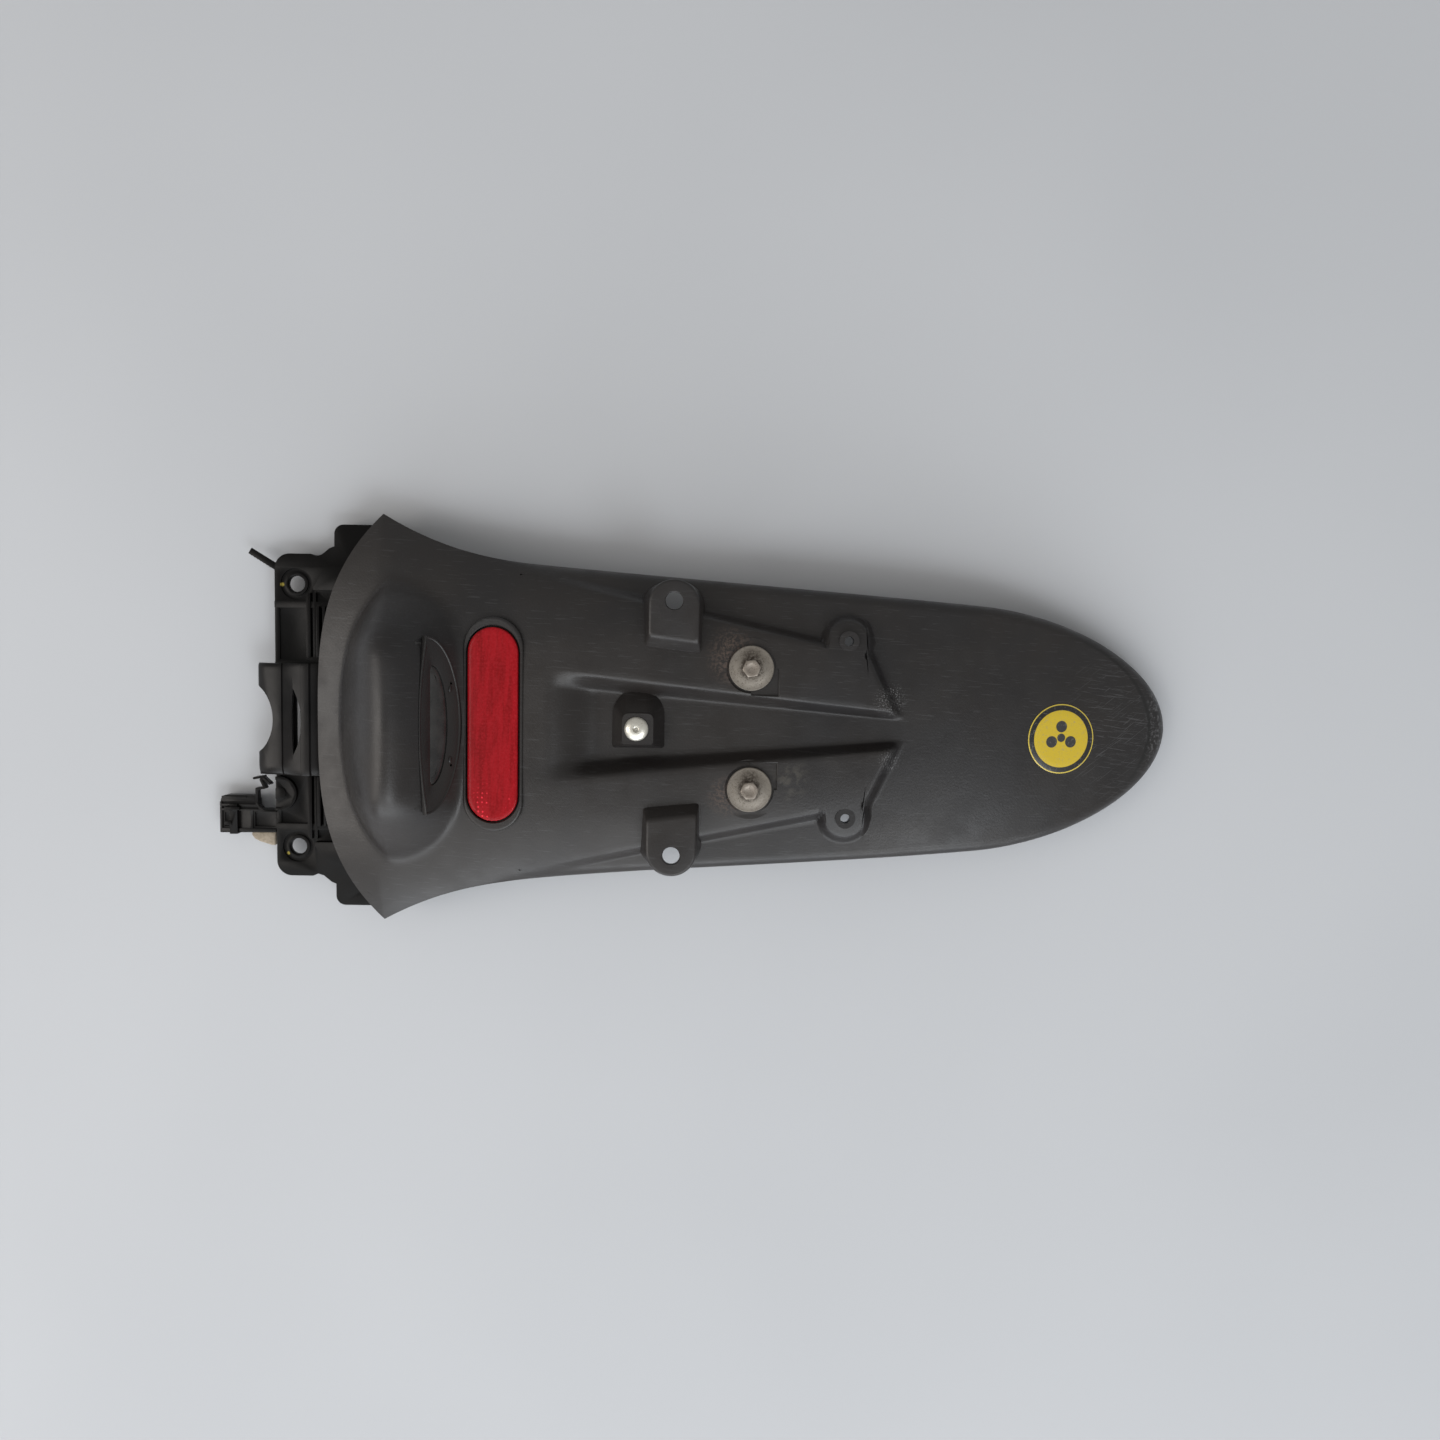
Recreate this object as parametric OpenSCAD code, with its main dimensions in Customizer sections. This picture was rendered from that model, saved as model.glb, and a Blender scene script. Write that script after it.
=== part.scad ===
// Rear fender of a motorcycle with its mounting bracket, plate lamp, reflector and fasteners.
// It lies face up. +X runs to the tail, +Y to the right side of the machine and +Z up.
// The origin is midway between the two frame bolt holes, on the upper face of the bracket's flange.

/* [Overall] */
// Distance from the frame bolts to the tip of the tail
tail_x = 461; // [430:1:560]
// Half of the width across the shoulders
shoulder_half = 106; // [98:1:128]
// Distance from the frame bolts to the front edge of the shell, on the centre line
front_x = 15.5; // [14:0.5:19]
// Nominal wall of the moulded shell
wall = 2.5; // [2:0.1:3.2]

/* [Shell] */
// How far the front edge bows back at the shoulders
front_bow = 33; // [26:1:40]
// Half width where the tail starts to round
tongue_half = 63.7; // [58:0.5:76]
// Length of the rounded tail
tail_round = 105; // [88:1:126]
// Widening of each side for each millimetre towards the front
side_taper = 0.0762; // [0.06:0.002:0.092]
// Length over which the sides flare out to the shoulders
flare_length = 82; // [68:1:98]
// Height of the number plate deck
deck_z = 38; // [34:0.5:44]
// Radius of the arc from the deck down to the front edge
front_radius = 470; // [392:1:564]
// Drop of the deck surface from the centre line to the side edge
deck_arch = 14; // [12:0.5:16]
// Height of the tongue where it leaves the deck
tongue_z = 30; // [27:0.5:32]
// Radius of the arc from the deck down to the tip
tail_radius = 468; // [450:1:560]
// Drop of the tongue from the centre line to the side edge
tongue_arch = 5; // [4:0.5:6]
// Radius of the turned-down rim
rim_r = 6; // [5:0.5:7]

/* [Deck] */
// Distance from the frame bolts to the end of the deck beside the trough
deck_end_x = 312; // [300:1:320]
// Half width of the deck at the crease's front end
crease_half = 73; // [68:0.5:76]
// Narrowing of the deck for each millimetre towards the tail
crease_taper = 0.221; // [0.2:0.005:0.23]
// Run of the sloped wall beside the deck
crease_run = 6; // [5:0.5:7]
// Half width of the trough at its front top edge
trough_half = 27; // [24:0.5:29]
// Half width of the trough floor at its front
trough_floor_half = 16.5; // [14:0.5:18]
// Half width of the trough at the deck's end
trough_end_half = 10; // [9:0.5:12]
// Run of the sloped front wall of the trough
trough_run = 26.5; // [22:0.5:30]

/* [Hood] */
// Distance from the frame bolts to the crest of the lamp hood
hood_x = 62; // [60:0.5:64]
// Half width of the hood, front to back
hood_half = 33; // [31:0.5:34]
// Distance between the centres of the hood's two round ends
hood_span = 76; // [66:1:86]
// Height of the hood above the shell
hood_h = 38; // [34:0.5:42]

/* [Lamp] */
// Length of the D-shaped lamp cover
cover_length = 88; // [76:1:92]
// Height of the lamp cover, down the slope
cover_depth = 28; // [25:0.5:29]
// Thickness of the lamp cover
cover_t = 3; // [2.5:0.1:3.5]
// Length of the window in the cover
window_length = 57; // [48:1:62]
// Height of the window, down the slope
window_depth = 11; // [9:0.5:13]

/* [Reflector] */
// Length of the reflector
reflector_length = 99; // [88:1:105]
// Width of the reflector
reflector_width = 28.4; // [25:0.2:29]
// Distance from the frame bolts to the reflector's centre
reflector_x = 110.5; // [109:0.5:113]

/* [Mounting holes] */
// Distance between the two frame bolt holes
frame_spacing = 139.4; // [130:0.2:142]
// Diameter of a frame bolt hole
frame_bore = 8.5; // [6.5:0.1:10]
// Distance between the two tab holes
tab_spacing = 126; // [118:0.5:128]
// Diameter of a tab hole
tab_bore = 8.6; // [6.5:0.1:10]
// Distance between the two small plate holes
plate_spacing = 89; // [85:0.5:92]
// Diameter of a small plate hole
plate_bore = 4.8; // [4:0.1:6]

/* [Fasteners] */
// Distance between the two deck bolts
bolt_spacing = 60.8; // [58:0.2:64]
// Thread diameter of a deck bolt
bolt_d = 6; // [5:0.5:6.5]
// Width across the flats of a bolt head
bolt_flats = 8; // [8:0.5:10]
// Diameter of a large washer
washer_d = 22.4; // [20:0.1:24]
// Diameter of the rivet head
rivet_head_d = 12; // [10:0.5:14]

/* [Bracket] */
// Half width of the bracket's flange
flange_half = 84; // [80:0.5:88]
// Distance of the flange's free edge in front of the frame bolts
flange_front = 13; // [12:0.5:15]
// Thickness of the flange
flange_t = 3; // [2.5:0.1:3.5]
// Depth of the skirt under the flange's upper face
skirt_depth = 12; // [11:0.5:14]

/* [Hidden] */
$fn = 48;
// Gap between pieces that are assembled loosely
fit = 0.3;
// Overlap that joins two shapes of one moulding
bite = 0.6;

// Places along the fender
shoulder_x = front_x + front_bow;
round_x = tail_x - tail_round;
deck_x = 165;
crease_x = 130;
trough_x = 136.5;
bolt_x = 239;
rivet_x = 182;
tab_x = 200.5;
plate_x = 287.5;
sticker_x = 400;
trough_crest_x = 290;
trough_radius = 2100;

// Softening of the hood's crest and of its foot
crest_soft = 0.35;
foot_soft = 0.06;
// How far the hood's ends sweep forward
hood_sweep = 6;

// Basic functions
function clamp01(t) = max(0, min(1, t));
function ease(t) = let (c = clamp01(t)) c * c * (3 - 2 * c);
function mix(a, b, t) = a + (b - a) * t;
function flat(lists) = [for (a = lists) for (b = a) b];

// Plan outline: the square of the half width, which is zero at the tip
function side_half(x) =
    tongue_half + side_taper * (round_x - x)
    + (shoulder_half - tongue_half - side_taper * (round_x - shoulder_x))
    * pow(max(0, 1 - max(0, x - shoulder_x) / flare_length), 2.2);
function half_sq(x) =
    let (u = clamp01((x - round_x) / tail_round), s = side_half(x))
    s * s * (1 - u * u);
function half_at(x) = sqrt(half_sq(x));
// Distance of a point inside the side edge or the tail's edge
function edge_gap(x, y) =
    let (h = 0.5, g = (half_sq(x + h) - half_sq(x - h)) / (2 * h))
    (half_sq(x) - y * y) / sqrt(g * g + 4 * y * y + 0.01);

// Upper surfaces: the deck with the shoulders, and the tongue with the trough floor
function deck_at(x) = deck_z - pow(max(0, deck_x - x), 2) / (2 * front_radius);
function deck_skin(x, y) =
    deck_at(x) - deck_arch * pow(abs(y) / half_at(min(max(x, shoulder_x), deck_end_x)), 4);
function tongue_at(x) =
    tongue_z - pow(x - trough_crest_x, 2) / (2 * (x < trough_crest_x ? trough_radius : tail_radius));
function tongue_skin(x, y) = tongue_at(x) - tongue_arch * pow(y / tongue_half, 2);

// Edges of the deck and of the trough, as half widths
function crease_at(x) = crease_half - crease_taper * (x - crease_x);
function trough_share(x) = clamp01((x - trough_x) / (deck_end_x - trough_x));
function trough_top(x) = mix(trough_half + 2, trough_end_half, trough_share(x));
function trough_foot(x) = mix(trough_floor_half + 2, trough_end_half / 2, trough_share(x));

// The deck's mask: 1 on the deck, 0 beside it and in the trough
plate_boss_r = 14.5;
plate_boss_run = 5;
deck_end_run = 4;
deck_end_turn = 24.8;
function side_mask(x, ya) =
    let (fade = ease((x - crease_x + 15) / 95))
    1 - fade * (1 - ease((crease_at(x) + crease_run - ya) / crease_run));
function end_mask(x, ya) =
    let (d = (x - deck_end_x) * cos(deck_end_turn) + (ya - trough_end_half) * sin(deck_end_turn))
    ease(0.5 - d / deck_end_run);
function boss_mask(x, ya) =
    ease((plate_boss_r - norm([x - plate_x, ya - plate_spacing / 2])) / plate_boss_run);
function trough_mask(x, ya) =
    ease((trough_top(x) - ya) / (trough_top(x) - trough_foot(x))) * ease((x - trough_x) / trough_run);
function deck_mask(x, ya) =
    max(min(side_mask(x, ya), end_mask(x, ya)), boss_mask(x, ya)) * (1 - trough_mask(x, ya));

// The lamp hood: a roof with round ends over a rounded ridge
function hood_ridge(y) = hood_x - hood_sweep * pow(y / (hood_span / 2 + hood_half), 2);
function hood_reach(x, y) = norm([x - hood_ridge(y), max(0, abs(y) - hood_span / 2)]) / hood_half;
function roof(q) =
    1 - (sqrt(q * q + crest_soft * crest_soft) - crest_soft)
    / (sqrt(1 + crest_soft * crest_soft) - crest_soft);
function hood_at(x, y) =
    let (p = roof(hood_reach(x, y)))
    x > hood_x + 2 * hood_half ? 0 : hood_h * (p + sqrt(p * p + foot_soft * foot_soft)) / 2;

// The rim turns down over its radius, and fades out in front of the deck
function rim_drop(x, y) =
    let (k = clamp01(1 - edge_gap(x, y) / rim_r))
    rim_r * (1 - sqrt(1 - k * k)) * ease((x - 100) / 50);

function skin_z(x, y) =
    let (m = deck_mask(x, abs(y)))
    mix(tongue_skin(x, y), deck_skin(x, y), m) + hood_at(x, y) - rim_drop(x, y);

// Height of the inner surface: the wall is measured square to the slope, up to a limit
steepest = 1.9;
function under_z(x, y) =
    let (
        h = 0.4,
        gx = (skin_z(x + h, y) - skin_z(x - h, y)) / (2 * h),
        gy = y < h ? 0 : (skin_z(x, y) - skin_z(x, y - h)) / h
    )
    skin_z(x, y) - wall * min(steepest, sqrt(1 + gx * gx + gy * gy));

// Stations along the shell, as distances behind the front edge
bow_length = 100;
tip_blunt = 0.25;
stations = flat([
    [for (i = [0 : 21]) i * 4],
    [for (i = [0 : 3]) mix(92, trough_x - front_x - 5, i / 3)],
    [for (i = [0 : 5]) trough_x - front_x + i * trough_run / 5],
    [for (i = [1 : 10]) mix(trough_x + trough_run, plate_x - 16, i / 10) - front_x],
    [for (i = [1 : 11]) mix(plate_x - 16, deck_end_x + 5, i / 11) - front_x],
    [for (i = [1 : 8]) mix(deck_end_x + 5, tail_x - 24, i / 8) - front_x],
    [for (i = [1 : 6]) tail_x - 24 * pow(1 - i / 6, 2) - tip_blunt * i / 6 - front_x]
]);

// Lines across the shell: they follow the trough, the deck's crease, the plate bosses and the rim
line_counts = [2, 3, 4, 2, 3, 3];
function round_boss(x, r) =
    abs(x - plate_x) < r ? plate_spacing / 2 + sqrt(r * r - pow(x - plate_x, 2)) : 0;
function feature_anchors(x, w) = [
    0,
    trough_foot(x),
    trough_top(x),
    max(crease_at(x), round_boss(x, plate_boss_r - plate_boss_run)),
    max(crease_at(x) + crease_run, round_boss(x, plate_boss_r)),
    w - rim_r,
    w
];
function plain_anchors(w) = [0, 0.15 * w, 0.3 * w, 0.6 * w, 0.7 * w, max(w - rim_r, 0.82 * w), w];
function anchors_at(x, w) =
    let (
        k = ease((x - 95) / 40) * (1 - ease((x - deck_end_x - 4) / 40)),
        a = feature_anchors(min(x, deck_end_x), w),
        b = plain_anchors(w)
    )
    [for (i = [0 : 6]) mix(b[i], a[i], k)];
function half_lines(x, w) =
    let (a = anchors_at(x, w))
    flat([[0], for (i = [0 : 5]) [for (k = [1 : line_counts[i]]) mix(a[i], a[i + 1], k / line_counts[i])]]);

// One station: points from -Y to +Y, shifted back where the front edge bows
function bow_at(s, t) = front_bow * pow(t, 3) * pow(max(0, 1 - s / bow_length), 2);
function station(s) =
    let (
        xe = front_x + s + bow_at(s, 1),
        w = half_at(xe),
        ys = half_lines(front_x + s, w),
        n = len(ys)
    )
    [for (j = [1 - n : n - 1])
        let (y = ys[abs(j)])
        [front_x + s + bow_at(s, y / w), j < 0 ? -y : y]];

// A closed sheet between an upper and a lower grid of points of the same size
module closed_sheet(upper, lower) {
    rows = len(upper);
    cols = len(upper[0]);
    shift = rows * cols;
    function at(i, j) = i * cols + j;
    top = [for (i = [0 : rows - 2]) for (j = [0 : cols - 2]) for (f = [
        [at(i, j), at(i + 1, j + 1), at(i + 1, j)],
        [at(i, j), at(i, j + 1), at(i + 1, j + 1)]
    ]) f];
    bottom = [for (f = top) [f[0] + shift, f[2] + shift, f[1] + shift]];
    rim = flat([
        [for (i = [0 : rows - 2]) [at(i, 0), at(i + 1, 0)]],
        [for (j = [0 : cols - 2]) [at(rows - 1, j), at(rows - 1, j + 1)]],
        [for (i = [rows - 1 : -1 : 1]) [at(i, cols - 1), at(i - 1, cols - 1)]],
        [for (j = [cols - 1 : -1 : 1]) [at(0, j), at(0, j - 1)]]
    ]);
    side = [for (e = rim) for (f = [
        [e[0], e[1], e[1] + shift],
        [e[0], e[1] + shift, e[0] + shift]
    ]) f];
    polyhedron(points = flat([flat(upper), flat(lower)]), faces = flat([top, bottom, side]));
}

module shell_skin() {
    grid = [for (s = stations) station(s)];
    upper = [for (row = grid) [for (p = row) [p[0], p[1], skin_z(p[0], abs(p[1]))]]];
    lower = [for (row = grid) [for (p = row) [p[0], p[1], under_z(p[0], abs(p[1]))]]];
    closed_sheet(upper, lower);
}

// Plates and prisms that stand on their outline
module on_both_sides() {
    children();
    mirror([0, 1, 0]) children();
}

module ring(outer, inner, height) {
    difference() {
        cylinder(d = outer, h = height);
        translate([0, 0, -1]) cylinder(d = inner, h = height + 2);
    }
}

// A pill: two half circles joined by straight sides, long in Y
module pill(length, width) {
    straight = length - width;
    square([width, straight], center = true);
    for (side = [-1, 1]) translate([0, side * straight / 2]) circle(d = width);
}

// A rib across the shell: its top lies inside the wall and its foot below the inner surface
rib_t = 2;
module cross_rib(x, reach, depth = 5) {
    steps = 10;
    ys = [for (i = [-steps : steps]) i / steps * reach];
    crown = [for (y = ys) [y, under_z(x, abs(y)) + wall / 2]];
    foot = [for (i = [len(ys) - 1 : -1 : 0]) [ys[i], under_z(x, abs(ys[i])) - depth]];
    translate([x - rib_t / 2, 0, 0]) rotate([90, 0, 90])
        linear_extrude(rib_t) polygon(concat(crown, foot));
}

// Number plate tabs: hollow ears that are flat on top and round at their outer end
tab_w = 25;
tab_rise = 8;
tab_inner = 44;
tab_top_z = deck_z + tab_rise;
tab_foot_z = 22;
// Run of the front, rear and inner walls for each millimetre of height
tab_draft = [0.24, 0.1, 0.55];
tab_slant = 1.5;
tab_round = 1.2;
module tab_outline(drop, inset = 0) {
    r = tab_w / 2 - inset;
    front = r + drop * tab_draft[0];
    back = r + drop * tab_draft[1];
    centre = tab_spacing / 2 - 2;
    inner = tab_inner + inset - drop * tab_draft[2];
    polygon(concat(
        [[back, inner - tab_slant], [back, centre]],
        [for (i = [1 : 8]) let (a = i * 90 / 8) [back * cos(a), centre + r * sin(a)]],
        [for (i = [1 : 8]) let (a = 90 + i * 90 / 8) [front * cos(a), centre + r * sin(a)]],
        [[-front, inner + tab_slant]]
    ));
}
module tab_form(inset = 0) {
    low = tab_top_z - tab_foot_z;
    hull() {
        translate([tab_x, 0, tab_foot_z]) linear_extrude(0.01) tab_outline(low, inset);
        translate([tab_x, 0, tab_top_z - tab_round - inset]) linear_extrude(0.01) tab_outline(tab_round, inset);
        translate([tab_x, 0, tab_top_z - inset - 0.01]) linear_extrude(0.01) tab_outline(0, inset + tab_round / 2);
    }
}

module tab() {
    foot = [for (i = [0 : 16]) let (y = 26 + i * 3.3)
        [y, min(under_z(tab_x, y), deck_z - wall) + 0.4]];
    intersection() {
        tab_form();
        translate([tab_x - tab_w, 0, 0]) rotate([90, 0, 90]) linear_extrude(2 * tab_w)
            polygon(concat(foot, [[82, tab_top_z + 1], [26, tab_top_z + 1]]));
    }
}

// The reflector's seat lies square to the shell at its centre
seat_turn = atan((deck_x - reflector_x) / front_radius);
seat_ring = 4;
seat_rise = 0.8;
seat_depth = 2.6;
seat_floor = 2;
stud_spacing = 52;
stud_d = 5;
module at_reflector() {
    translate([reflector_x, 0, deck_at(reflector_x)]) rotate([0, -seat_turn, 0]) children();
}

// The lamp's frame: x runs down the hood's rear slope, y across and z out of it
slope_front = hood_x + 14;
slope_back = hood_x + 31.4;
lamp_x = (slope_front + slope_back) / 2;
lamp_fall = skin_z(slope_front, 0) - skin_z(slope_back, 0);
lamp_turn = atan(lamp_fall / (slope_back - slope_front));
lamp_z = (skin_z(slope_front, 0) + skin_z(slope_back, 0)) / 2;
module at_lamp() {
    translate([lamp_x, 0, lamp_z]) rotate([0, lamp_turn, 0]) children();
}

// A D: straight on its upper side and half an ellipse below
module dee(length, depth, grow = 0) {
    arc = [for (i = [0 : 24]) let (a = 90 - i * 7.5)
        [-depth / 2 + (depth + grow) * cos(a), (length / 2 + grow) * sin(a)]];
    polygon(concat([[-depth / 2 - grow, length / 2 + grow]], arc, [[-depth / 2 - grow, -length / 2 - grow]]));
}

// Places of the bracket screws, on the +Y side
screw_places = [[22.5, 38], [44.5, 88]];
screw_boss_d = 9;
screw_d = 4;

// Bolt stack: heights from the washer's seat downwards
pocket_depth = 1.5;
seat_z = deck_z - pocket_depth;
pocket_r = washer_d / 2 + 1.1;
pocket_corner = 13.7;
plate_top_z = tongue_z - 7.5;
plate_t = 2;
nut_h = 5;
grommet_bore = 13;
module at_bolts() {
    for (side = [-1, 1]) translate([bolt_x, side * bolt_spacing / 2, 0]) children();
}

// The boss that carries the rivet: round on one side and square on the other
boss_top_z = tongue_z + 6;
boss_top = 15.6;
boss_base = 28;
boss_shift = 0.7;
boss_low = -10.5;
post_d = 11;
rivet_y = -1;
rivet_d = 6.4;
module rivet_boss(inset) {
    base = boss_base - 2 * inset;
    top = boss_top - 1.2 * inset;
    translate([rivet_x + boss_shift, rivet_y, 0]) hull() {
        translate([0, 0, tongue_at(rivet_x) - wall - inset]) linear_extrude(1) {
            translate([0, 6.6]) circle(d = base, $fn = 32);
            translate([-base / 2, boss_low + inset]) square([base, 17 - inset]);
        }
        translate([0, 0, boss_top_z - 1 - inset]) linear_extrude(1)
            offset(r = 2, $fn = 16) square(top - 4, center = true);
    }
}

module fender_shell() {
    color([0.13, 0.13, 0.14]) difference() {
        union() {
            shell_skin();
            // Thickened seats of the deck bolts, with hollow bosses down to the support plate
            at_bolts() translate([0, 0, plate_top_z]) cylinder(r = 9, h = deck_z - plate_top_z - wall / 2);
            at_bolts() translate([0, 0, deck_z - wall - 2.2]) cylinder(r = 15, h = 3);
            rivet_boss(0);
            translate([rivet_x, rivet_y, plate_top_z]) cylinder(d = post_d, h = boss_top_z - plate_top_z - 1);
            on_both_sides() tab();
            // Thickened seat and raised ring of the reflector
            at_reflector() translate([0, 0, -seat_depth - seat_floor])
                linear_extrude(seat_depth + seat_floor + seat_rise)
                pill(reflector_length + 2 * seat_ring, reflector_width + 2 * seat_ring);
            // Bosses of the bracket screws
            on_both_sides() for (p = screw_places)
                translate([p[0], p[1], 0]) cylinder(d = screw_boss_d, h = under_z(p[0], p[1]) + 1);
            // Bosses under the small plate holes
            on_both_sides() translate([plate_x, plate_spacing / 2, deck_z - wall - 5]) cylinder(d = 10, h = 6);
            cross_rib(rivet_x + 28, 42, 2.4);
            cross_rib(deck_end_x - 38, 36);
            cross_rib(deck_end_x + 18, 48);
            cross_rib(deck_end_x + 62, 40);
        }
        // Washer pockets, round with one square corner towards the trough
        on_both_sides() translate([bolt_x, bolt_spacing / 2, seat_z]) {
            cylinder(r = pocket_r, h = 20);
            translate([0, -pocket_corner, 0]) cube([pocket_corner, pocket_corner, 20]);
        }
        at_bolts() translate([0, 0, plate_top_z - 1])
            cylinder(d = grommet_bore, h = deck_z - plate_top_z + 4.5);
        // Hollow of the rivet's boss round a post that spaces the support plate
        difference() {
            rivet_boss(wall);
            translate([rivet_x, rivet_y, 0]) cylinder(d = post_d, h = 80);
        }
        // Hollow of each tab and its hole
        on_both_sides() tab_form(wall);
        on_both_sides() translate([tab_x, tab_spacing / 2, 0]) cylinder(d = tab_bore, h = 80);
        on_both_sides() translate([plate_x, plate_spacing / 2, 0]) cylinder(d = plate_bore, h = 80);
        translate([rivet_x, rivet_y, 0]) cylinder(d = rivet_d + 0.2, h = 80);
        // Reflector recess and the holes for its studs
        at_reflector() {
            translate([0, 0, -seat_depth]) linear_extrude(20)
                pill(reflector_length + 2 * fit, reflector_width + 2 * fit);
            for (side = [-1, 1]) translate([0, side * stud_spacing / 2, -20]) cylinder(d = stud_d + 1, h = 30);
        }
        // Opening for the lamp
        at_lamp() {
            translate([0, 0, -12]) linear_extrude(40) dee(cover_length - 5, cover_depth - 5);
            translate([0, 0, -cover_t]) linear_extrude(40) dee(cover_length, cover_depth, fit);
        }
        // Pilot holes of the bracket screws
        on_both_sides() for (p = screw_places)
            translate([p[0], p[1], -1]) cylinder(d = screw_d, h = 9);
    }
}

// Outline of the bracket, upper half: free edge, ear, shoulder lug and the edge under the shell
lug_x = 18;
lug_half = 101;
lug_end = 51;
under_shell_x = 34;
corner_r = 7;
module bracket_outline(shrink = 0) {
    on_both_sides() {
        translate([-flange_front + shrink, -1])
            square([flange_front + under_shell_x - 2 * shrink, flange_half - corner_r + 1]);
        translate([-flange_front + corner_r, flange_half - corner_r]) circle(r = corner_r - shrink);
        translate([-flange_front + corner_r, flange_half - corner_r - shrink])
            square([under_shell_x + flange_front - corner_r - shrink, corner_r]);
        translate([lug_x + shrink, 70]) square([lug_end - lug_x - 2 * shrink, lug_half - 70 - 5 + shrink]);
        translate([lug_x + 5, lug_half - 5]) circle(r = 5 - shrink);
        translate([lug_end - 5, lug_half - 5]) circle(r = 5 - shrink);
        translate([lug_x + 5, lug_half - 10]) square([lug_end - lug_x - 10, 10 - shrink]);
    }
}

// Wall that backs the shell's front edge: its top follows the shell's inner surface
carrier_x = 28;
carrier_span = [31, 73];
module carrier_wall() {
    crown = [for (i = [0 : 8]) let (y = mix(carrier_span[0], carrier_span[1], i / 8))
        [y, under_z(carrier_x, y) - fit - 0.3]];
    translate([carrier_x, 0, 0]) rotate([90, 0, 90]) linear_extrude(2.2)
        polygon(concat([[carrier_span[0], -1]], crown, [[carrier_span[1], -1]]));
}

ear_ring_d = 16;
panel_y = [29, 57];
rail_places = [4, 7, 10];
module mounting_bracket() {
    color([0.1, 0.1, 0.11]) difference() {
        union() {
            translate([0, 0, -flange_t]) linear_extrude(flange_t) bracket_outline();
            // Skirt under the rim of the flange
            translate([0, 0, -skirt_depth]) linear_extrude(skirt_depth - flange_t / 2) difference() {
                bracket_outline();
                bracket_outline(wall);
            }
            // Rings round the frame bolt holes and the round boss beside the cable hook
            on_both_sides() translate([0, frame_spacing / 2, -0.5]) ring(ear_ring_d, ear_ring_d - 2.4, 1.5);
            on_both_sides() translate([0, frame_spacing / 2, -skirt_depth]) cylinder(d = 15, h = skirt_depth - 1);
            translate([-5.5, -39.5, -0.5]) cylinder(r = 7, h = 2.8);
            // Ribs beside the ears, rails and frames of the sunk panels
            on_both_sides() {
                translate([-flange_front + 1, panel_y[1] + 2, -0.5]) cube([30, 2.2, 3.5]);
                translate([-flange_front + 1, panel_y[0] - 2.4, -0.5]) cube([25, 2, 2.5]);
                for (x = rail_places) translate([x, panel_y[0], -0.5]) cube([1.2, 50, 2.2]);
                translate([11, frame_spacing / 2 + 2, -0.5]) rotate([0, 0, 40]) cube([14, 2, 6]);
                translate([13, frame_spacing / 2 + 10, -0.5]) cube([2, 7, 5]);
                // Ribs that stiffen the skirt from below
                translate([-flange_front + 1, 20, -skirt_depth + 3]) cube([under_shell_x + 11, wall, 7]);
                translate([-flange_front + 1, 56, -skirt_depth + 3]) cube([under_shell_x + 11, wall, 7]);
            }
            on_both_sides() carrier_wall();
            for (p = screw_places) on_both_sides()
                translate([p[0], p[1], -skirt_depth + 3]) cylinder(d = screw_boss_d, h = skirt_depth - 4);
        }
        on_both_sides() translate([0, frame_spacing / 2, -20]) cylinder(d = frame_bore, h = 40);
        on_both_sides() for (p = screw_places) {
            translate([p[0], p[1], -20]) cylinder(d = screw_d + 0.6, h = 40);
            translate([p[0], p[1], -20]) cylinder(d = 8, h = 20 - flange_t - 1.5);
        }
        // Sunk panels between the rib and the middle
        on_both_sides() translate([-flange_front + 2.5, panel_y[0] + 1, -1])
            cube([14, panel_y[1] - panel_y[0] - 1, 4]);
        // Slot for the tie strap
        translate([-flange_front + 3, 72.5, -20]) cube([2, 6, 40]);
    }
}

// A strip of constant width along an arc
module arc_strip(radius, width, from, to) {
    steps = 12;
    outer = [for (i = [0 : steps]) let (a = mix(from, to, i / steps))
        [(radius + width / 2) * cos(a), (radius + width / 2) * sin(a)]];
    inner = [for (i = [steps : -1 : 0]) let (a = mix(from, to, i / steps))
        [(radius - width / 2) * cos(a), (radius - width / 2) * sin(a)]];
    polygon(concat(outer, inner));
}

// Cable hook at the flange's edge: a J, and a springy barb that closes it
hook_y = -45;
hook_r = 5;
hook_t = 1.3;
hook_h = 4.4;
hook_out = 4;
module stroke(points, width) {
    for (i = [0 : len(points) - 2]) hull() {
        translate(points[i]) circle(d = width, $fn = 16);
        translate(points[i + 1]) circle(d = width, $fn = 16);
    }
}
module cable_hook() {
    bend = -hook_out - hook_r;
    color([0.1, 0.1, 0.11]) translate([-flange_front, hook_y, -flange_t + 0.4]) linear_extrude(hook_h) {
        translate([-hook_out, 0]) arc_strip(hook_r, hook_t, 180, 270);
        translate([-hook_out - 0.1, -hook_r - hook_t / 2]) square([hook_out + 0.1, hook_t]);
        stroke([
            [bend, -0.1], [bend, 5.6], [bend + 2.2, 5.1], [bend + 4, 6.2], [bend + 2.6, 9.6], [bend + 1, 12.6]
        ], hook_t);
        stroke([[bend + 2.4, 12], [bend + 6.6, 8.6]], hook_t);
    }
}

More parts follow.
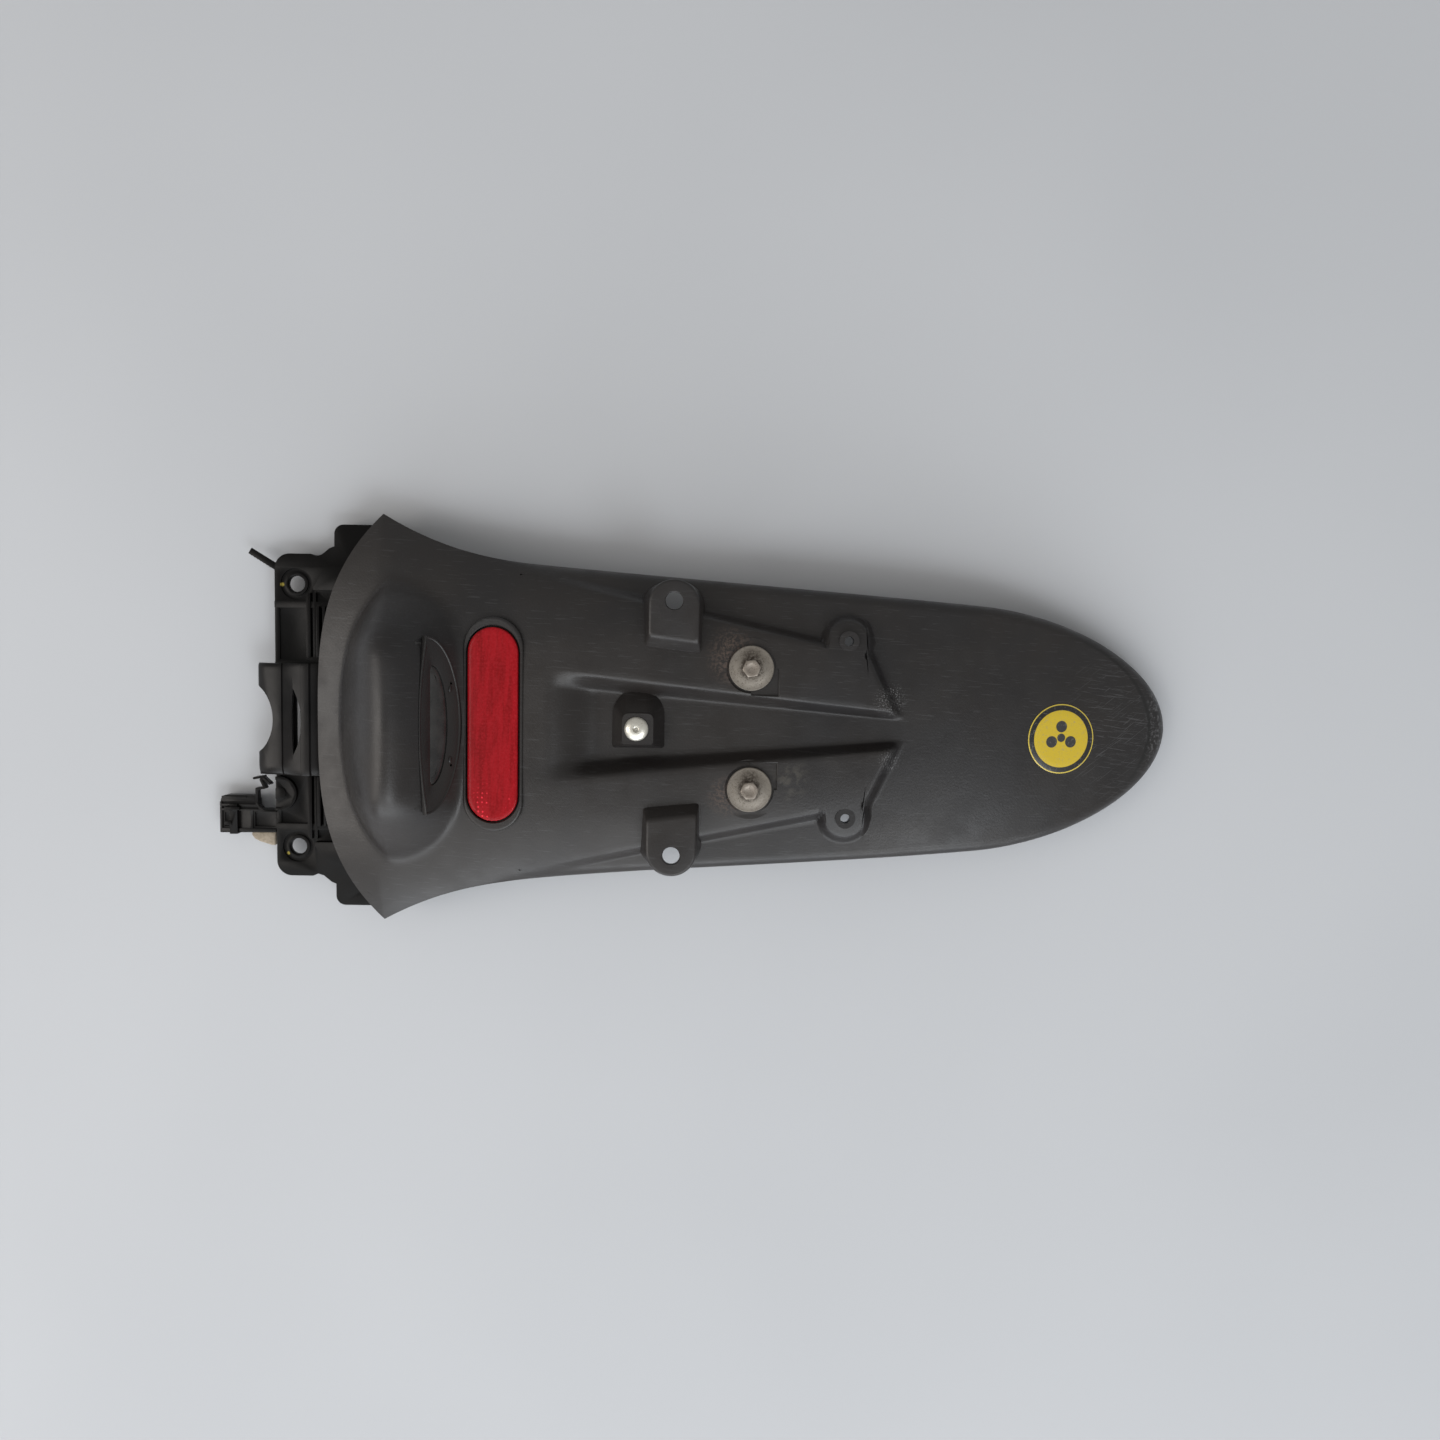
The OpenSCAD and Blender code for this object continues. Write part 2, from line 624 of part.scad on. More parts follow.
// Saddle over the flange: an arched sheet with a round notch and a lens-shaped window
guide_half = 29;
notch_half = 21;
notch_reach = -10;
window_half = 16;
window_front = -0.6;
guide_feet = [[-12.5, 6.8], [9, 6.2]];
module cable_guide() {
    span = [-19.5, 15];
    notch_start = span[0] - 5;
    function notch_at(y) =
        notch_start + (notch_reach - notch_start) * sqrt(max(0, 1 - pow(y / notch_half, 2)));
    function window_at(y, depth) = window_front + depth * (1 - pow(y / window_half, 2));
    crown = [[span[0], 0.4], [span[0] + 1.5, 4.5], [-14, 7.6], [-5.5, 9], [4, 9.6], [9.5, 8.2], [span[1], 5]];
    inner = [for (i = [len(crown) - 1 : -1 : 0]) [
        crown[i][0] + (i < 2 ? 2.4 : i > 5 ? -1 : 0.4),
        max(0.4, crown[i][1] - 2.2)
    ]];
    color([0.12, 0.12, 0.13]) difference() {
        union() {
            translate([0, guide_half, 0]) rotate([90, 0, 0])
                linear_extrude(2 * guide_half) polygon(concat(crown, inner));
            // Feet that stand on the flange
            on_both_sides() for (foot = guide_feet)
                translate([foot[0], guide_half - 9, 0]) cube([3, 4, foot[1]]);
        }
        // Round notch in the front edge, and a lens-shaped window behind it
        translate([0, 0, -1]) linear_extrude(20) {
            polygon([for (i = [0 : 12]) let (y = notch_half * (1 - i / 6)) [notch_at(y), y]]);
            polygon(concat(
                [for (i = [0 : 12]) let (y = window_half * (1 - i / 6)) [window_at(y, 4.5), y]],
                [for (i = [1 : 11]) let (y = window_half * (i / 6 - 1)) [window_at(y, -0.5), y]]
            ));
        }
    }
}

// Lamp: cover, lens, gasket, body, socket and bulb, stacked down from the cover's outer face
lens_t = 1.6;
gasket_t = 1.2;
body_depth = 12;
body_wall = 1.8;
window_shift = -3.5;
module lamp_cover() {
    color([0.15, 0.15, 0.16]) at_lamp() difference() {
        translate([0, 0, -cover_t + 0.2]) linear_extrude(cover_t) dee(cover_length, cover_depth);
        translate([window_shift, 0, -20]) linear_extrude(40) dee(window_length, window_depth);
        // Rebate for the lens, open to the inside
        translate([window_shift, 0, -cover_t - 1]) linear_extrude(lens_t + 1.2)
            dee(window_length, window_depth, 1.5 + fit);
    }
}

module lamp_lens() {
    color([0.35, 0.37, 0.4, 0.6]) at_lamp() translate([window_shift, 0, -cover_t + 0.2])
        linear_extrude(lens_t - 0.1) dee(window_length, window_depth, 1.5);
}

module lamp_gasket() {
    color([0.06, 0.06, 0.06]) at_lamp() translate([0, 0, -cover_t + 0.2 - gasket_t]) linear_extrude(gasket_t)
        difference() {
            dee(cover_length - 6, cover_depth - 6);
            dee(cover_length - 16, cover_depth - 14);
        }
}

module lamp_body() {
    top = -cover_t + 0.2 - gasket_t;
    color([0.82, 0.82, 0.8]) at_lamp() difference() {
        translate([0, 0, top - body_depth]) linear_extrude(body_depth) dee(cover_length - 12, cover_depth - 10);
        translate([0, 0, top - body_depth + body_wall]) linear_extrude(body_depth)
            dee(cover_length - 16, cover_depth - 14);
        translate([-1, 0, top - 20]) cylinder(d = 8.4, h = 20);
    }
}

module lamp_socket() {
    top = -cover_t + 0.2 - gasket_t - body_depth;
    color([0.2, 0.2, 0.2]) at_lamp() translate([-1, 0, top]) {
        translate([0, 0, -2]) cylinder(d = 11, h = 2);
        translate([0, 0, -3]) cylinder(d = 8, h = 3 + body_wall + 1);
    }
}

module lamp_bulb() {
    base = -cover_t + 0.2 - gasket_t - body_depth + body_wall + 1;
    color([0.9, 0.9, 0.88, 0.5]) at_lamp() translate([-1, 0, base]) {
        cylinder(d = 5, h = 4);
        translate([0, 0, 4.5]) sphere(d = 6);
    }
}

// Reflector: lens over a base with two studs, held by nuts and washers
lens_face = 1.2;
module reflector_lens() {
    color([0.8, 0.08, 0.1]) at_reflector() translate([0, 0, -seat_depth + 1.6 + 0.1])
        difference() {
            linear_extrude(seat_depth + lens_face - 1.7) pill(reflector_length, reflector_width);
            // Prisms moulded on the inner face
            for (i = [-6 : 6]) translate([-reflector_width / 2 + 2, i * 6.5 - 1, -1])
                cube([reflector_width - 4, 2, 1.5]);
        }
}

module reflector_base() {
    color([0.1, 0.1, 0.1]) at_reflector() {
        translate([0, 0, -seat_depth]) linear_extrude(1.6) pill(reflector_length, reflector_width);
        for (side = [-1, 1]) translate([0, side * stud_spacing / 2, -seat_depth - 12]) cylinder(d = stud_d, h = 12.5);
    }
}

module reflector_washers() {
    color([0.7, 0.7, 0.72]) at_reflector() for (side = [-1, 1])
        translate([0, side * stud_spacing / 2, -seat_depth - seat_floor - 1])
            ring(12, stud_d + 0.4, 1);
}

module reflector_nuts() {
    color([0.7, 0.7, 0.72]) at_reflector() for (side = [-1, 1])
        translate([0, side * stud_spacing / 2, -seat_depth - seat_floor - 5]) difference() {
            cylinder(d = 9.2, h = 4, $fn = 6);
            translate([0, 0, -1]) cylinder(d = stud_d + 0.04, h = 6);
        }
}

// Deck bolts: hex head over a dished washer, through collar and grommet into a weld nut
washer_t = 1.2;
washer_rise = 0.8;
head_h = 4;
grommet_lip = 0.8;
stack_z = seat_z + grommet_lip;
head_z = stack_z + washer_t + washer_rise;
bolt_reach = head_z - plate_top_z + plate_t + nut_h + 1.2;
module deck_bolt() {
    translate([0, 0, head_z]) {
        difference() {
            cylinder(d = bolt_flats / cos(30), h = head_h, $fn = 6);
            translate([0, 0, head_h - 0.5]) cylinder(d = bolt_flats - 3, h = 1);
        }
        translate([0, 0, -bolt_reach]) cylinder(d = bolt_d, h = bolt_reach + 0.5);
    }
}

module dished_washer() {
    hole = bolt_d / 2 + 0.2;
    outer = washer_d / 2;
    rotate_extrude() polygon([
        [hole, stack_z + washer_rise],
        [bolt_flats * 0.62, stack_z + washer_rise],
        [outer - 2, stack_z],
        [outer, stack_z],
        [outer, stack_z + washer_t],
        [outer - 2, stack_z + washer_t],
        [bolt_flats * 0.62, stack_z + washer_t + washer_rise],
        [hole, stack_z + washer_t + washer_rise]
    ]);
}

module grommet() {
    neck = grommet_bore / 2 - 0.1;
    hole = bolt_d / 2 + 2;
    lower = deck_z - wall - 2.2;
    difference() {
        union() {
            translate([0, 0, seat_z]) cylinder(r = pocket_r - 2, h = grommet_lip);
            translate([0, 0, lower]) cylinder(r = neck, h = seat_z - lower + 0.2);
        }
        translate([0, 0, lower - 1]) cylinder(r = hole, h = 20);
    }
}

module collar() {
    translate([0, 0, plate_top_z]) ring(bolt_d + 3.6, bolt_d + 0.6, stack_z - plate_top_z);
}

module weld_nut() {
    translate([0, 0, plate_top_z - plate_t - nut_h]) difference() {
        cylinder(d = 11.5, h = nut_h, $fn = 6);
        translate([0, 0, -1]) cylinder(d = bolt_d + 0.04, h = nut_h + 2);
    }
}

module bolt_right() { color([0.6, 0.58, 0.54]) translate([bolt_x, bolt_spacing / 2, 0]) deck_bolt(); }
module bolt_left() { color([0.6, 0.58, 0.54]) translate([bolt_x, -bolt_spacing / 2, 0]) deck_bolt(); }
module washer_right() { color([0.66, 0.62, 0.56]) translate([bolt_x, bolt_spacing / 2, 0]) dished_washer(); }
module washer_left() { color([0.66, 0.62, 0.56]) translate([bolt_x, -bolt_spacing / 2, 0]) dished_washer(); }
module grommet_right() { color([0.05, 0.05, 0.05]) translate([bolt_x, bolt_spacing / 2, 0]) grommet(); }
module grommet_left() { color([0.05, 0.05, 0.05]) translate([bolt_x, -bolt_spacing / 2, 0]) grommet(); }
module collar_right() { color([0.7, 0.7, 0.7]) translate([bolt_x, bolt_spacing / 2, 0]) collar(); }
module collar_left() { color([0.7, 0.7, 0.7]) translate([bolt_x, -bolt_spacing / 2, 0]) collar(); }
module weld_nut_right() { color([0.6, 0.6, 0.6]) translate([bolt_x, bolt_spacing / 2, 0]) weld_nut(); }
module weld_nut_left() { color([0.6, 0.6, 0.6]) translate([bolt_x, -bolt_spacing / 2, 0]) weld_nut(); }

// Steel plate under the deck, held by the two bolts and the rivet
plate_front = rivet_x - 14;
plate_back = bolt_x + 16;
plate_half = bolt_spacing / 2 + 12;
module support_plate() {
    color([0.55, 0.56, 0.58]) difference() {
        union() {
            translate([0, 0, plate_top_z - plate_t]) linear_extrude(plate_t) difference() {
                polygon([
                    [plate_front, -12], [plate_front + 8, -16], [bolt_x - 16, -plate_half],
                    [plate_back, -plate_half], [plate_back, plate_half], [bolt_x - 16, plate_half],
                    [plate_front + 8, 16], [plate_front, 12]
                ]);
                translate([bolt_x - 17, 0]) pill(28, 14);
            }
            // Stiffening flange along the rear edge
            translate([plate_back - plate_t, -plate_half, plate_top_z - 8]) cube([plate_t, 2 * plate_half, 8]);
        }
        at_bolts() cylinder(d = bolt_d + 0.8, h = 80);
        translate([rivet_x, rivet_y, 0]) cylinder(d = rivet_d + 0.2, h = 80);
    }
}

// Blind rivet: domed head with a hollow centre, and its set end under the backing washer
module rivet() {
    head_r = rivet_head_d / 2;
    foot_z = plate_top_z - plate_t - 1.2;
    color([0.75, 0.74, 0.7]) translate([rivet_x, rivet_y, 0]) rotate_extrude() polygon([
        [1.6, foot_z - 3], [4.4, foot_z - 3], [4.6, foot_z], [rivet_d / 2, foot_z],
        [rivet_d / 2, boss_top_z], [head_r, boss_top_z], [head_r - 0.3, boss_top_z + 0.9],
        [head_r - 1.4, boss_top_z + 1.7], [head_r - 3, boss_top_z + 2.2], [1.6, boss_top_z + 2.4]
    ]);
}

module rivet_washer() {
    color([0.7, 0.7, 0.7]) translate([rivet_x, rivet_y, plate_top_z - plate_t - 1.2]) ring(14, 6.8, 1.2);
}

// Self-tapping screws that hold the bracket up against the shell
module bracket_screws() {
    head_seat = -flange_t - 1.5;
    color([0.5, 0.5, 0.52]) on_both_sides() for (p = screw_places) translate([p[0], p[1], 0]) {
        translate([0, 0, head_seat - 2.4]) difference() {
            cylinder(d = 7.4, h = 2.4);
            translate([-2.2, -0.5, -1]) cube([4.4, 1, 2]);
            translate([-0.5, -2.2, -1]) cube([1, 4.4, 2]);
        }
        translate([0, 0, head_seat - 0.2]) cylinder(d = screw_d - 0.1, h = 7.6 - head_seat);
    }
}

// Connector that hangs at the flange's free edge, its retaining band and its seal
arm_y = [-63, -44];
arm_x = -43;
arm_z = [-9.5, -3];
module connector_body() {
    width = arm_y[1] - arm_y[0];
    r = 6;
    color([0.13, 0.13, 0.14]) translate([0, 0, arm_z[0]]) difference() {
        union() {
            linear_extrude(arm_z[1] - arm_z[0]) {
                translate([arm_x + r, arm_y[1] - r]) circle(r = r);
                translate([arm_x + 2, arm_y[0] + 2]) circle(r = 2);
                translate([arm_x, arm_y[0] + 2]) square([10, width - r - 2]);
                translate([arm_x + r, arm_y[0] + 4]) square([-flange_front - fit / 2 - arm_x - r, width - 4]);
                translate([arm_x + 2, arm_y[0]]) square([16, 6]);
            }
            // Rails along the upper face: they stop short of the cable hook
            for (y = [arm_y[1] - 8, arm_y[1] - 6, arm_y[0] + 3.4]) translate([arm_x + 1.5, y, 1])
                cube([18, 1.2, arm_z[1] - arm_z[0] + 0.6]);
        }
        // Sunk middle of the arm
        translate([arm_x + 14, arm_y[0] + 6, arm_z[1] - arm_z[0] - 1.6]) cube([13, 5.6, 4]);
    }
}

module connector_strap() {
    x = arm_x + 5;
    inner = [arm_y[1] - arm_y[0] + 2 * fit, arm_z[1] - arm_z[0] + 2 * fit + 1.8];
    color([0.2, 0.19, 0.19]) translate([x, (arm_y[0] + arm_y[1]) / 2, (arm_z[0] + arm_z[1]) / 2 + 0.8])
        difference() {
            cube([7, inner[0] + 2.4, inner[1] + 2.4], center = true);
            cube([9, inner[0], inner[1]], center = true);
        }
}

module connector_seal() {
    color([0.62, 0.55, 0.46]) translate([-19, arm_y[0] - 3.7, -11.5]) rotate([0, 90, 0]) rotate([0, 0, 90])
        translate([0, 0, -6]) linear_extrude(12) {
            translate([0, 3.4]) circle(d = 6.8);
            translate([-3.4, 3.4]) square([6.8, 2.4]);
        }
}

// Narrow strap through the slot at the flange's corner
module tie_strap() {
    t = 1;
    w = 4.6;
    color([0.16, 0.16, 0.16]) translate([-flange_front + 4, 75.5, 0]) {
        translate([-t / 2, -w / 2, -flange_t - 3]) cube([t, w, flange_t + 4]);
        translate([-t / 2, -w / 2, 0.3]) rotate([0, 0, -30]) translate([-19, 0, 0]) cube([20, 3, t]);
    }
}

// Round sticker that follows the tongue
sticker_d = 36;
sticker_t = 0.3;
module sticker() {
    rings = 4;
    spokes = 24;
    function spot(i, k) = let (r = sticker_d / 2 * i / rings, a = 360 / spokes * k)
        [sticker_x + r * cos(a), rivet_y + r * sin(a)];
    function lift(p, h) = [p[0], p[1], skin_z(p[0], abs(p[1])) + h];
    upper = [for (i = [0.02, 1, 2, 3, 4]) [for (k = [0 : spokes]) lift(spot(i, k), sticker_t)]];
    points = flat([
        [lift(spot(0, 0), sticker_t)],
        [for (i = [1 : rings]) for (k = [0 : spokes - 1]) lift(spot(i, k), sticker_t)],
        [lift(spot(0, 0), 0.02)],
        [for (i = [1 : rings]) for (k = [0 : spokes - 1]) lift(spot(i, k), 0.02)]
    ]);
    shift = 1 + rings * spokes;
    function id(i, k) = 1 + (i - 1) * spokes + k % spokes;
    fan = [for (k = [0 : spokes - 1]) [0, id(1, k + 1), id(1, k)]];
    bands = [for (i = [1 : rings - 1]) for (k = [0 : spokes - 1]) for (f = [
        [id(i, k), id(i, k + 1), id(i + 1, k + 1)],
        [id(i, k), id(i + 1, k + 1), id(i + 1, k)]
    ]) f];
    top = concat(fan, bands);
    bottom = [for (f = top) [f[0] + shift, f[2] + shift, f[1] + shift]];
    side = [for (k = [0 : spokes - 1]) for (f = [
        [id(rings, k), id(rings, k + 1), id(rings, k + 1) + shift],
        [id(rings, k), id(rings, k + 1) + shift, id(rings, k) + shift]
    ]) f];
    color([0.9, 0.8, 0.25]) polyhedron(points = points, faces = flat([top, bottom, side]));
}

fender_shell();
mounting_bracket();
cable_hook();
cable_guide();
lamp_cover();
lamp_lens();
lamp_gasket();
lamp_body();
lamp_socket();
lamp_bulb();
reflector_lens();
reflector_base();
reflector_washers();
reflector_nuts();
bolt_right();
bolt_left();
washer_right();
washer_left();
grommet_right();
grommet_left();
collar_right();
collar_left();
support_plate();
weld_nut_right();
weld_nut_left();
rivet();
rivet_washer();
bracket_screws();
connector_body();
connector_strap();
connector_seal();
tie_strap();
sticker();
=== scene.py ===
"""Looks of a motorcycle's rear fender with its bracket, plate lamp, reflector and fasteners.

It lies face up on a pale floor and is seen from straight above. +X runs to the tail, +Y to the right
side of the machine and +Z up. Sizes are in millimetres and are turned to metres when a mesh is made.
"""
import logging
import math
from collections.abc import Sequence
from dataclasses import dataclass, field
from enum import Enum

import bmesh
import bpy
import numpy as np
from mathutils import Matrix, Vector


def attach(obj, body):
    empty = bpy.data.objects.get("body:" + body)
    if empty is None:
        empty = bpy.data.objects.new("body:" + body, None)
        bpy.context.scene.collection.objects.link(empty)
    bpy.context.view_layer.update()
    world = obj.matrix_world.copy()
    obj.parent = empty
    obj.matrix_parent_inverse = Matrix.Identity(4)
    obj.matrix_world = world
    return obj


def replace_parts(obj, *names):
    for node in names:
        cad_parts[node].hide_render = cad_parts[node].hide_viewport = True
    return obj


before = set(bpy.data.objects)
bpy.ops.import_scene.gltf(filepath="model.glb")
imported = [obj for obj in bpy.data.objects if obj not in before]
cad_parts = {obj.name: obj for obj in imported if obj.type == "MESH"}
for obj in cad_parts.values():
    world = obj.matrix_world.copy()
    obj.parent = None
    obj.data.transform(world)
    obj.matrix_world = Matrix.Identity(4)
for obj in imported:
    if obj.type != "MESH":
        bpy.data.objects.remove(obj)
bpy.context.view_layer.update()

log = logging.getLogger("fender")
MM = 0.001
Points = np.ndarray
Spot = tuple[float | tuple[float, float], ...]


class Side(Enum):
    """The two sides of the machine, as signs of Y."""

    RIGHT = 1
    LEFT = -1


class Cut(Enum):
    """How a solid joins the piece it is applied to."""

    ADD = "UNION"
    REMOVE = "DIFFERENCE"
    KEEP = "INTERSECT"


def mix(a: float, b: float, t: float) -> float:
    """Return the value at share t of the way from a to b."""
    return a + (b - a) * t


def ease(t: Points) -> Points:
    """Return a smooth step from 0 to 1 for t from 0 to 1."""
    c = np.clip(t, 0.0, 1.0)
    return c * c * (3 - 2 * c)


@dataclass
class Solid:
    """A closed mesh in millimetres, as points and faces."""

    points: Points
    faces: list[tuple[int, ...]]

    def moved(self, x: float = 0.0, y: float = 0.0, z: float = 0.0) -> "Solid":
        """Return the solid shifted by x, y and z."""
        return Solid(self.points + np.array([x, y, z]), self.faces)

    def placed(self, matrix: Matrix) -> "Solid":
        """Return the solid under a 4 by 4 matrix in millimetres."""
        m = np.array(matrix)
        return Solid(self.points @ m[:3, :3].T + m[:3, 3], self.faces)

    def mirrored(self) -> "Solid":
        """Return the solid on the other side of the machine, with its faces outward."""
        flipped = self.points * np.array([1.0, -1.0, 1.0])
        return Solid(flipped, [tuple(reversed(f)) for f in self.faces])

    def both_sides(self) -> list["Solid"]:
        """Return the solid and its mirror image."""
        return [self, self.mirrored()]


def loft(rings: Sequence[Points]) -> Solid:
    """Close a stack of rings of equal length, from the lowest up, into a solid.

    Args:
        rings: arrays of (x, y, z), each counter-clockwise when seen from above.

    Returns:
        A solid with a face at each end.
    """
    n, m = len(rings[0]), len(rings)
    faces = [tuple(reversed(range(n)))]
    for k in range(m - 1):
        for i in range(n):
            j = (i + 1) % n
            faces.append((k * n + i, k * n + j, (k + 1) * n + j, (k + 1) * n + i))
    faces.append(tuple(range((m - 1) * n, m * n)))
    return Solid(np.vstack(rings), faces)


def band(rings: Sequence[Points]) -> Solid:
    """Close a loop of rings, such as the section of a frame, into a solid with a hole.

    Args:
        rings: the section's points in order, each as a ring around the hole.

    Returns:
        A solid whose last ring joins its first.
    """
    n, m = len(rings[0]), len(rings)
    faces = []
    for k in range(m):
        low, high = k * n, ((k + 1) % m) * n
        faces += [(low + i, low + (i + 1) % n, high + (i + 1) % n, high + i) for i in range(n)]
    return Solid(np.vstack(rings), faces)


def at_height(outline: Points, z: float) -> Points:
    """Return a flat outline as a ring at height z."""
    return np.column_stack([outline, np.full(len(outline), z)])


def prism(outline: Points, low: float, high: float) -> Solid:
    """Return a flat outline drawn up from low to high."""
    return loft([at_height(outline, low), at_height(outline, high)])


def circle(radius: float, count: int = 48) -> Points:
    """Return a circle of count points about the origin."""
    a = np.arange(count) * 2 * math.pi / count
    return np.column_stack([radius * np.cos(a), radius * np.sin(a)])


def arc(x: float, y: float, radius: float, first: float, last: float, count: int = 12) -> Points:
    """Return points on an arc about (x, y), from one angle to another in degrees."""
    a = np.radians(np.linspace(first, last, count))
    return np.column_stack([x + radius * np.cos(a), y + radius * np.sin(a)])


def block(low: tuple[float, float, float], high: tuple[float, float, float]) -> Solid:
    """Return a box between two corners, as a base for cuts and ribs."""
    (x0, y0, z0), (x1, y1, z1) = low, high
    return prism(np.array([[x0, y0], [x1, y0], [x1, y1], [x0, y1]], float), z0, z1)


def post(x: float, y: float, radius: float, low: float, high: float, count: int = 48) -> Solid:
    """Return an upright cylinder."""
    return prism(circle(radius, count) + np.array([x, y]), low, high)


def turned(profile: Sequence[tuple[float, float]], count: int = 64) -> Solid:
    """Turn a profile about Z, from its low end on the axis to its high end on the axis.

    Args:
        profile: (radius, height) pairs; the first and last radius may be small but not zero.
        count: points round the axis.

    Returns:
        A solid closed at both ends.
    """
    return loft([at_height(circle(r, count), z) for r, z in profile])


def hollow_turned(profile: Sequence[tuple[float, float]], count: int = 64) -> Solid:
    """Turn a closed profile about Z into a ring; the profile runs counter-clockwise in (radius, height)."""
    return band([at_height(circle(r, count), z) for r, z in profile])


def pill(length: float, width: float, grow: float = 0.0, count: int = 24) -> Points:
    """Return a pill's outline, long in Y, counter-clockwise.

    Args:
        length: overall length.
        width: overall width.
        grow: how far the outline stands outside that size.
        count: points on each round end.

    Returns:
        The outline's points.
    """
    r, straight = width / 2 + grow, (length - width) / 2
    a = np.linspace(0, math.pi, count)
    upper = np.column_stack([r * np.cos(a), straight + r * np.sin(a)])
    return np.vstack([upper, -upper])


def dee(length: float, depth: float, grow: float = 0.0, shift: float = 0.0, bow: float = 0.0) -> Points:
    """Return a D: half an ellipse on its high-x side, and a straight or bowed side, counter-clockwise.

    Args:
        length: length across the D.
        depth: overall depth.
        grow: how far the outline stands outside that size.
        shift: distance that the D is moved along x.
        bow: how far the middle of the low-x side stands before its ends.

    Returns:
        The outline's points.
    """
    half = length / 2 + grow
    a = np.radians(np.linspace(-90, 90, 61))
    arc = np.column_stack([bow - depth / 2 + (depth - bow + grow) * np.cos(a), half * np.sin(a)])
    t = np.linspace(1, -1, 27)[1:-1]
    side = np.column_stack([bow * t * t - depth / 2 - grow, half * t])
    return np.vstack([arc, side]) + np.array([shift, 0.0])


def mesh_object(name: str, solid: Solid, smooth_below: float = 35.0) -> bpy.types.Object:
    """Make an object at the origin from a solid.

    Args:
        name: the object's name.
        solid: points in millimetres and faces.
        smooth_below: edges that turn less than this angle, in degrees, shade smoothly.

    Returns:
        The new object, linked to the scene.
    """
    mesh = bpy.data.meshes.new(name)
    mesh.from_pydata((solid.points * MM).tolist(), [], solid.faces)
    mesh.validate()
    made = bpy.data.objects.new(name, mesh)
    bpy.context.scene.collection.objects.link(made)
    shade(made, smooth_below)
    return made


def shade(piece: bpy.types.Object, smooth_below: float) -> None:
    """Shade a mesh smoothly, except along edges that turn more than an angle in degrees.

    Args:
        piece: a closed mesh at the origin.
        smooth_below: edges that turn less than this, in degrees, shade smoothly.
    """
    work = bmesh.new()
    work.from_mesh(piece.data)
    limit = math.radians(smooth_below)
    for face in work.faces:
        face.smooth = True
    for edge in work.edges:
        edge.smooth = len(edge.link_faces) == 2 and edge.calc_face_angle(0.0) < limit
    work.to_mesh(piece.data)
    work.free()


def bake_modifiers(piece: bpy.types.Object) -> None:
    """Replace a piece's mesh with what its modifiers make of it, and remove them.

    Args:
        piece: a closed mesh at the origin.
    """
    graph = bpy.context.evaluated_depsgraph_get()
    graph.update()
    finished = bpy.data.meshes.new_from_object(piece.evaluated_get(graph))
    piece.modifiers.clear()
    old = piece.data
    piece.data = finished
    bpy.data.meshes.remove(old)


def carve(piece: bpy.types.Object, steps: Sequence[tuple[Cut, Solid]]) -> None:
    """Apply solids to a piece one after another.

    Args:
        piece: a closed mesh at the origin.
        steps: how each solid is applied, and the solid.
    """
    tools = []
    for number, (how, solid) in enumerate(steps):
        tool = mesh_object(f"tool_{number}", solid)
        tool.hide_render = True
        tools.append(tool)
        change = piece.modifiers.new(f"cut_{number}", "BOOLEAN")
        change.operation = how.value
        change.solver = "MANIFOLD"
        change.object = tool
    bake_modifiers(piece)
    for tool in tools:
        mesh = tool.data
        bpy.data.objects.remove(tool)
        bpy.data.meshes.remove(mesh)


def merged_copy(node: str) -> bpy.types.Object:
    """Return a copy of a CAD node's mesh with its loose triangles merged into flat faces.

    Args:
        node: the CAD node's name.

    Returns:
        The copy, linked to the scene.
    """
    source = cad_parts[node]
    copy = bpy.data.objects.new(f"{node}_look", source.data.copy())
    bpy.context.scene.collection.objects.link(copy)
    copy.data.materials.clear()
    work = bmesh.new()
    work.from_mesh(copy.data)
    bmesh.ops.remove_doubles(work, verts=work.verts, dist=1e-6)
    bmesh.ops.dissolve_limit(
        work, angle_limit=math.radians(0.5), verts=work.verts, edges=work.edges, delimit={"NORMAL"}
    )
    work.to_mesh(copy.data)
    work.free()
    return copy


def soften(piece: bpy.types.Object, width: float, segments: int = 2) -> None:
    """Round a piece's sharp edges by a width in millimetres.

    Args:
        piece: a closed mesh at the origin.
        width: size of the rounding in millimetres.
        segments: faces across each rounding.
    """
    bevel = piece.modifiers.new("edges", "BEVEL")
    bevel.width = width * MM
    bevel.segments = segments
    bevel.limit_method = "ANGLE"
    bevel.angle_limit = math.radians(32)
    bevel.use_clamp_overlap = True
    bake_modifiers(piece)


def softened(node: str, width: float, segments: int = 2) -> bpy.types.Object:
    """Return a copy of a CAD node whose sharp edges are rounded.

    Args:
        node: the CAD node's name.
        width: size of the rounding in millimetres.
        segments: faces across each rounding.

    Returns:
        The copy, which stands for the node.
    """
    copy = merged_copy(node)
    soften(copy, width, segments)
    shade(copy, 38)
    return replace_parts(copy, node)


def wear(piece: bpy.types.Object, finish: bpy.types.Material, slot: str) -> bpy.types.Object:
    """Dress a piece in one finish, let it ride on the part and report it.

    Args:
        piece: a closed mesh at the origin.
        finish: the piece's material.
        slot: the material slot of the piece's record; it is not used.

    Returns:
        The same piece.
    """
    piece.data.materials.clear()
    piece.data.materials.append(finish)
    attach(piece, "root")
    log.info("%s: %d faces", piece.name, len(piece.data.polygons))
    return piece


